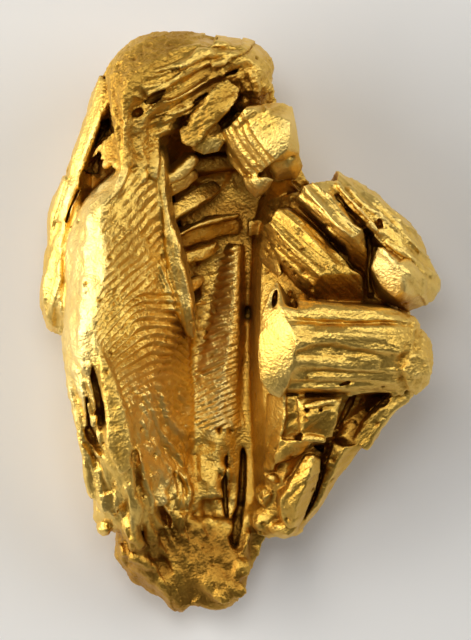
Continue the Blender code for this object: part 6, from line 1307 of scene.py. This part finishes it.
def gold():
    """Native gold: satin to bright on flat faces, finely pitted, with painted shade that darkens its colour
    in the creases.
    """
    material, shader = new_material("native_gold")
    nodes, links = material.node_tree.nodes, material.node_tree.links
    shader.inputs["Metallic"].default_value = 1.0
    place = nodes.new("ShaderNodeTexCoord").outputs["Object"]

    def attribute(name, splitter):
        """The outputs of a node that splits this attribute of the surface."""
        source = nodes.new("ShaderNodeAttribute")
        source.attribute_name = name
        parts = nodes.new(splitter)
        of_kind = "Color" if splitter == "ShaderNodeSeparateColor" else "Vector"
        links.new(source.outputs[of_kind], parts.inputs[of_kind])
        return parts.outputs

    def texture(kind, size, at=place, **values):
        """A texture whose features are about size wide."""
        node = nodes.new(kind)
        node.inputs["Scale"].default_value = 1 / size
        for name, value in values.items():
            node.inputs[name].default_value = value
        links.new(at, node.inputs["Vector"])
        return node

    def maths(kind, a, b):
        node = nodes.new("ShaderNodeMath")
        node.operation = kind
        for socket, value in zip(node.inputs, (a, b)):
            if isinstance(value, (int, float)):
                socket.default_value = value
            else:
                links.new(value, socket)
        return node.outputs[0]

    def total(*parts):
        """The sum of these values, each times its factors."""
        found = None
        for value, *factors in parts:
            for factor in factors:
                value = maths("MULTIPLY", value, factor)
            found = value if found is None else maths("ADD", found, value)
        return found

    # The surface's own values: its crust and how hollow it is, for the painted shade, and the places along
    # its streaks.
    grain, hollow = attribute("surface", "ShaderNodeSeparateColor")[:2]
    across, along, strength = attribute("streaks", "ShaderNodeSeparateXYZ")

    # Colour: painted shading, pale on ridges and painted highlights, orange-brown where shade is painted in
    # creases, with soft patches.
    patches = texture("ShaderNodeTexNoise", 3.5 * UNIT, Detail=3.0, Roughness=0.6).outputs["Fac"]
    tones = nodes.new("ShaderNodeValToRGB")
    stops = tones.color_ramp.elements
    while len(stops) < len(PAINTED_GOLD_SHADING):
        stops.new(0.5)
    for stop, (spot, colour) in zip(stops, PAINTED_GOLD_SHADING):
        stop.position = spot
        stop.color = (*colour, 1)
    links.new(total((hollow,), (patches, 0.3)), tones.inputs["Fac"])
    links.new(tones.outputs["Color"], shader.inputs["Base Color"])

    # Gloss: bright worn faces, satin crust.
    smear = texture("ShaderNodeTexNoise", 1.1 * UNIT, Detail=4.0, Roughness=0.65).outputs["Fac"]
    dull = maths("ADD", total((smear, 0.24), (grain, 0.12)), 0.34)
    links.new(dull, shader.inputs["Roughness"])

    # Fine relief, stronger in the crust, and streaks that are ten times as long as they are wide.
    sand = texture("ShaderNodeTexNoise", 0.7 * UNIT, Detail=2.0, Roughness=0.6).outputs["Fac"]
    beads = texture("ShaderNodeTexVoronoi", 0.36 * UNIT).outputs["Distance"]
    speckle = texture("ShaderNodeTexNoise", 0.27 * UNIT, Detail=1.0).outputs["Fac"]
    drawn = nodes.new("ShaderNodeCombineXYZ")
    links.new(maths("MULTIPLY", across, 1 / 0.36), drawn.inputs["X"])
    links.new(maths("MULTIPLY", along, 1 / 3.5), drawn.inputs["Y"])
    streak = texture("ShaderNodeTexNoise", 1, drawn.outputs["Vector"], Detail=2.0).outputs["Fac"]
    bump = nodes.new("ShaderNodeBump")
    bump.inputs["Strength"].default_value = 0.5
    bump.inputs["Distance"].default_value = 0.3 * UNIT
    drawn_depth = maths("MULTIPLY", strength, 1.1)
    height = total((sand, 0.6), (beads, grain, 0.7), (speckle, 0.5), (streak, drawn_depth))
    links.new(height, bump.inputs["Height"])
    links.new(bump.outputs["Normal"], shader.inputs["Normal"])
    return material


def floor():
    """A plain pale floor."""
    mesh = bpy.data.meshes.new("floor")
    bm = bmesh.new()
    bmesh.ops.create_grid(bm, x_segments=1, y_segments=1, size=FLOOR_REACH)
    bm.to_mesh(mesh)
    bm.free()
    material, shader = new_material("pale_floor")
    shader.inputs["Base Color"].default_value = (0.80, 0.79, 0.77, 1)
    shader.inputs["Roughness"].default_value = 0.9
    mesh.materials.append(material)
    shown("floor", mesh)


def studio():
    """Soft light: a dim warm world and three square lights that face the nugget."""
    world = bpy.data.worlds.new("studio")
    world.use_nodes = True
    background = world.node_tree.nodes["Background"]
    background.inputs["Color"].default_value = (1.0, 0.93, 0.8, 1)
    background.inputs["Strength"].default_value = 0.05
    bpy.context.scene.world = world
    bpy.context.scene.view_settings.view_transform = "Standard"
    for name, place, size, power, tint in LIGHTS:
        light = bpy.data.lights.new(name, "AREA")
        light.size = size
        light.energy = power
        light.color = tint
        obj = shown(name, light)
        obj.location = place
        obj.rotation_mode = "QUATERNION"
        obj.rotation_quaternion = (Vector(place) - Vector(LIT_POINT)).to_track_quat("Z", "Y")


def camera():
    """Straight above, with the photo's frame at VIEW_LEVEL."""
    data = bpy.data.cameras.new("camera")
    data.lens = 36 / 2 / ((VIEW_LENGTH * UNIT / 2) / (CAMERA_HEIGHT - VIEW_LEVEL * UNIT))
    data.clip_start = 0.01
    obj = shown("camera", data)
    x, y = ((centre - origin) * UNIT for centre, origin in zip(VIEW_CENTRE, ORIGIN))
    obj.location = (x, y, CAMERA_HEIGHT)
    bpy.context.scene.camera = obj


surface = nugget_piece()
surface.data.materials.clear()
surface.data.materials.append(gold())
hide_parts("gold_nugget")
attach(surface, "root")
floor()
studio()
camera()
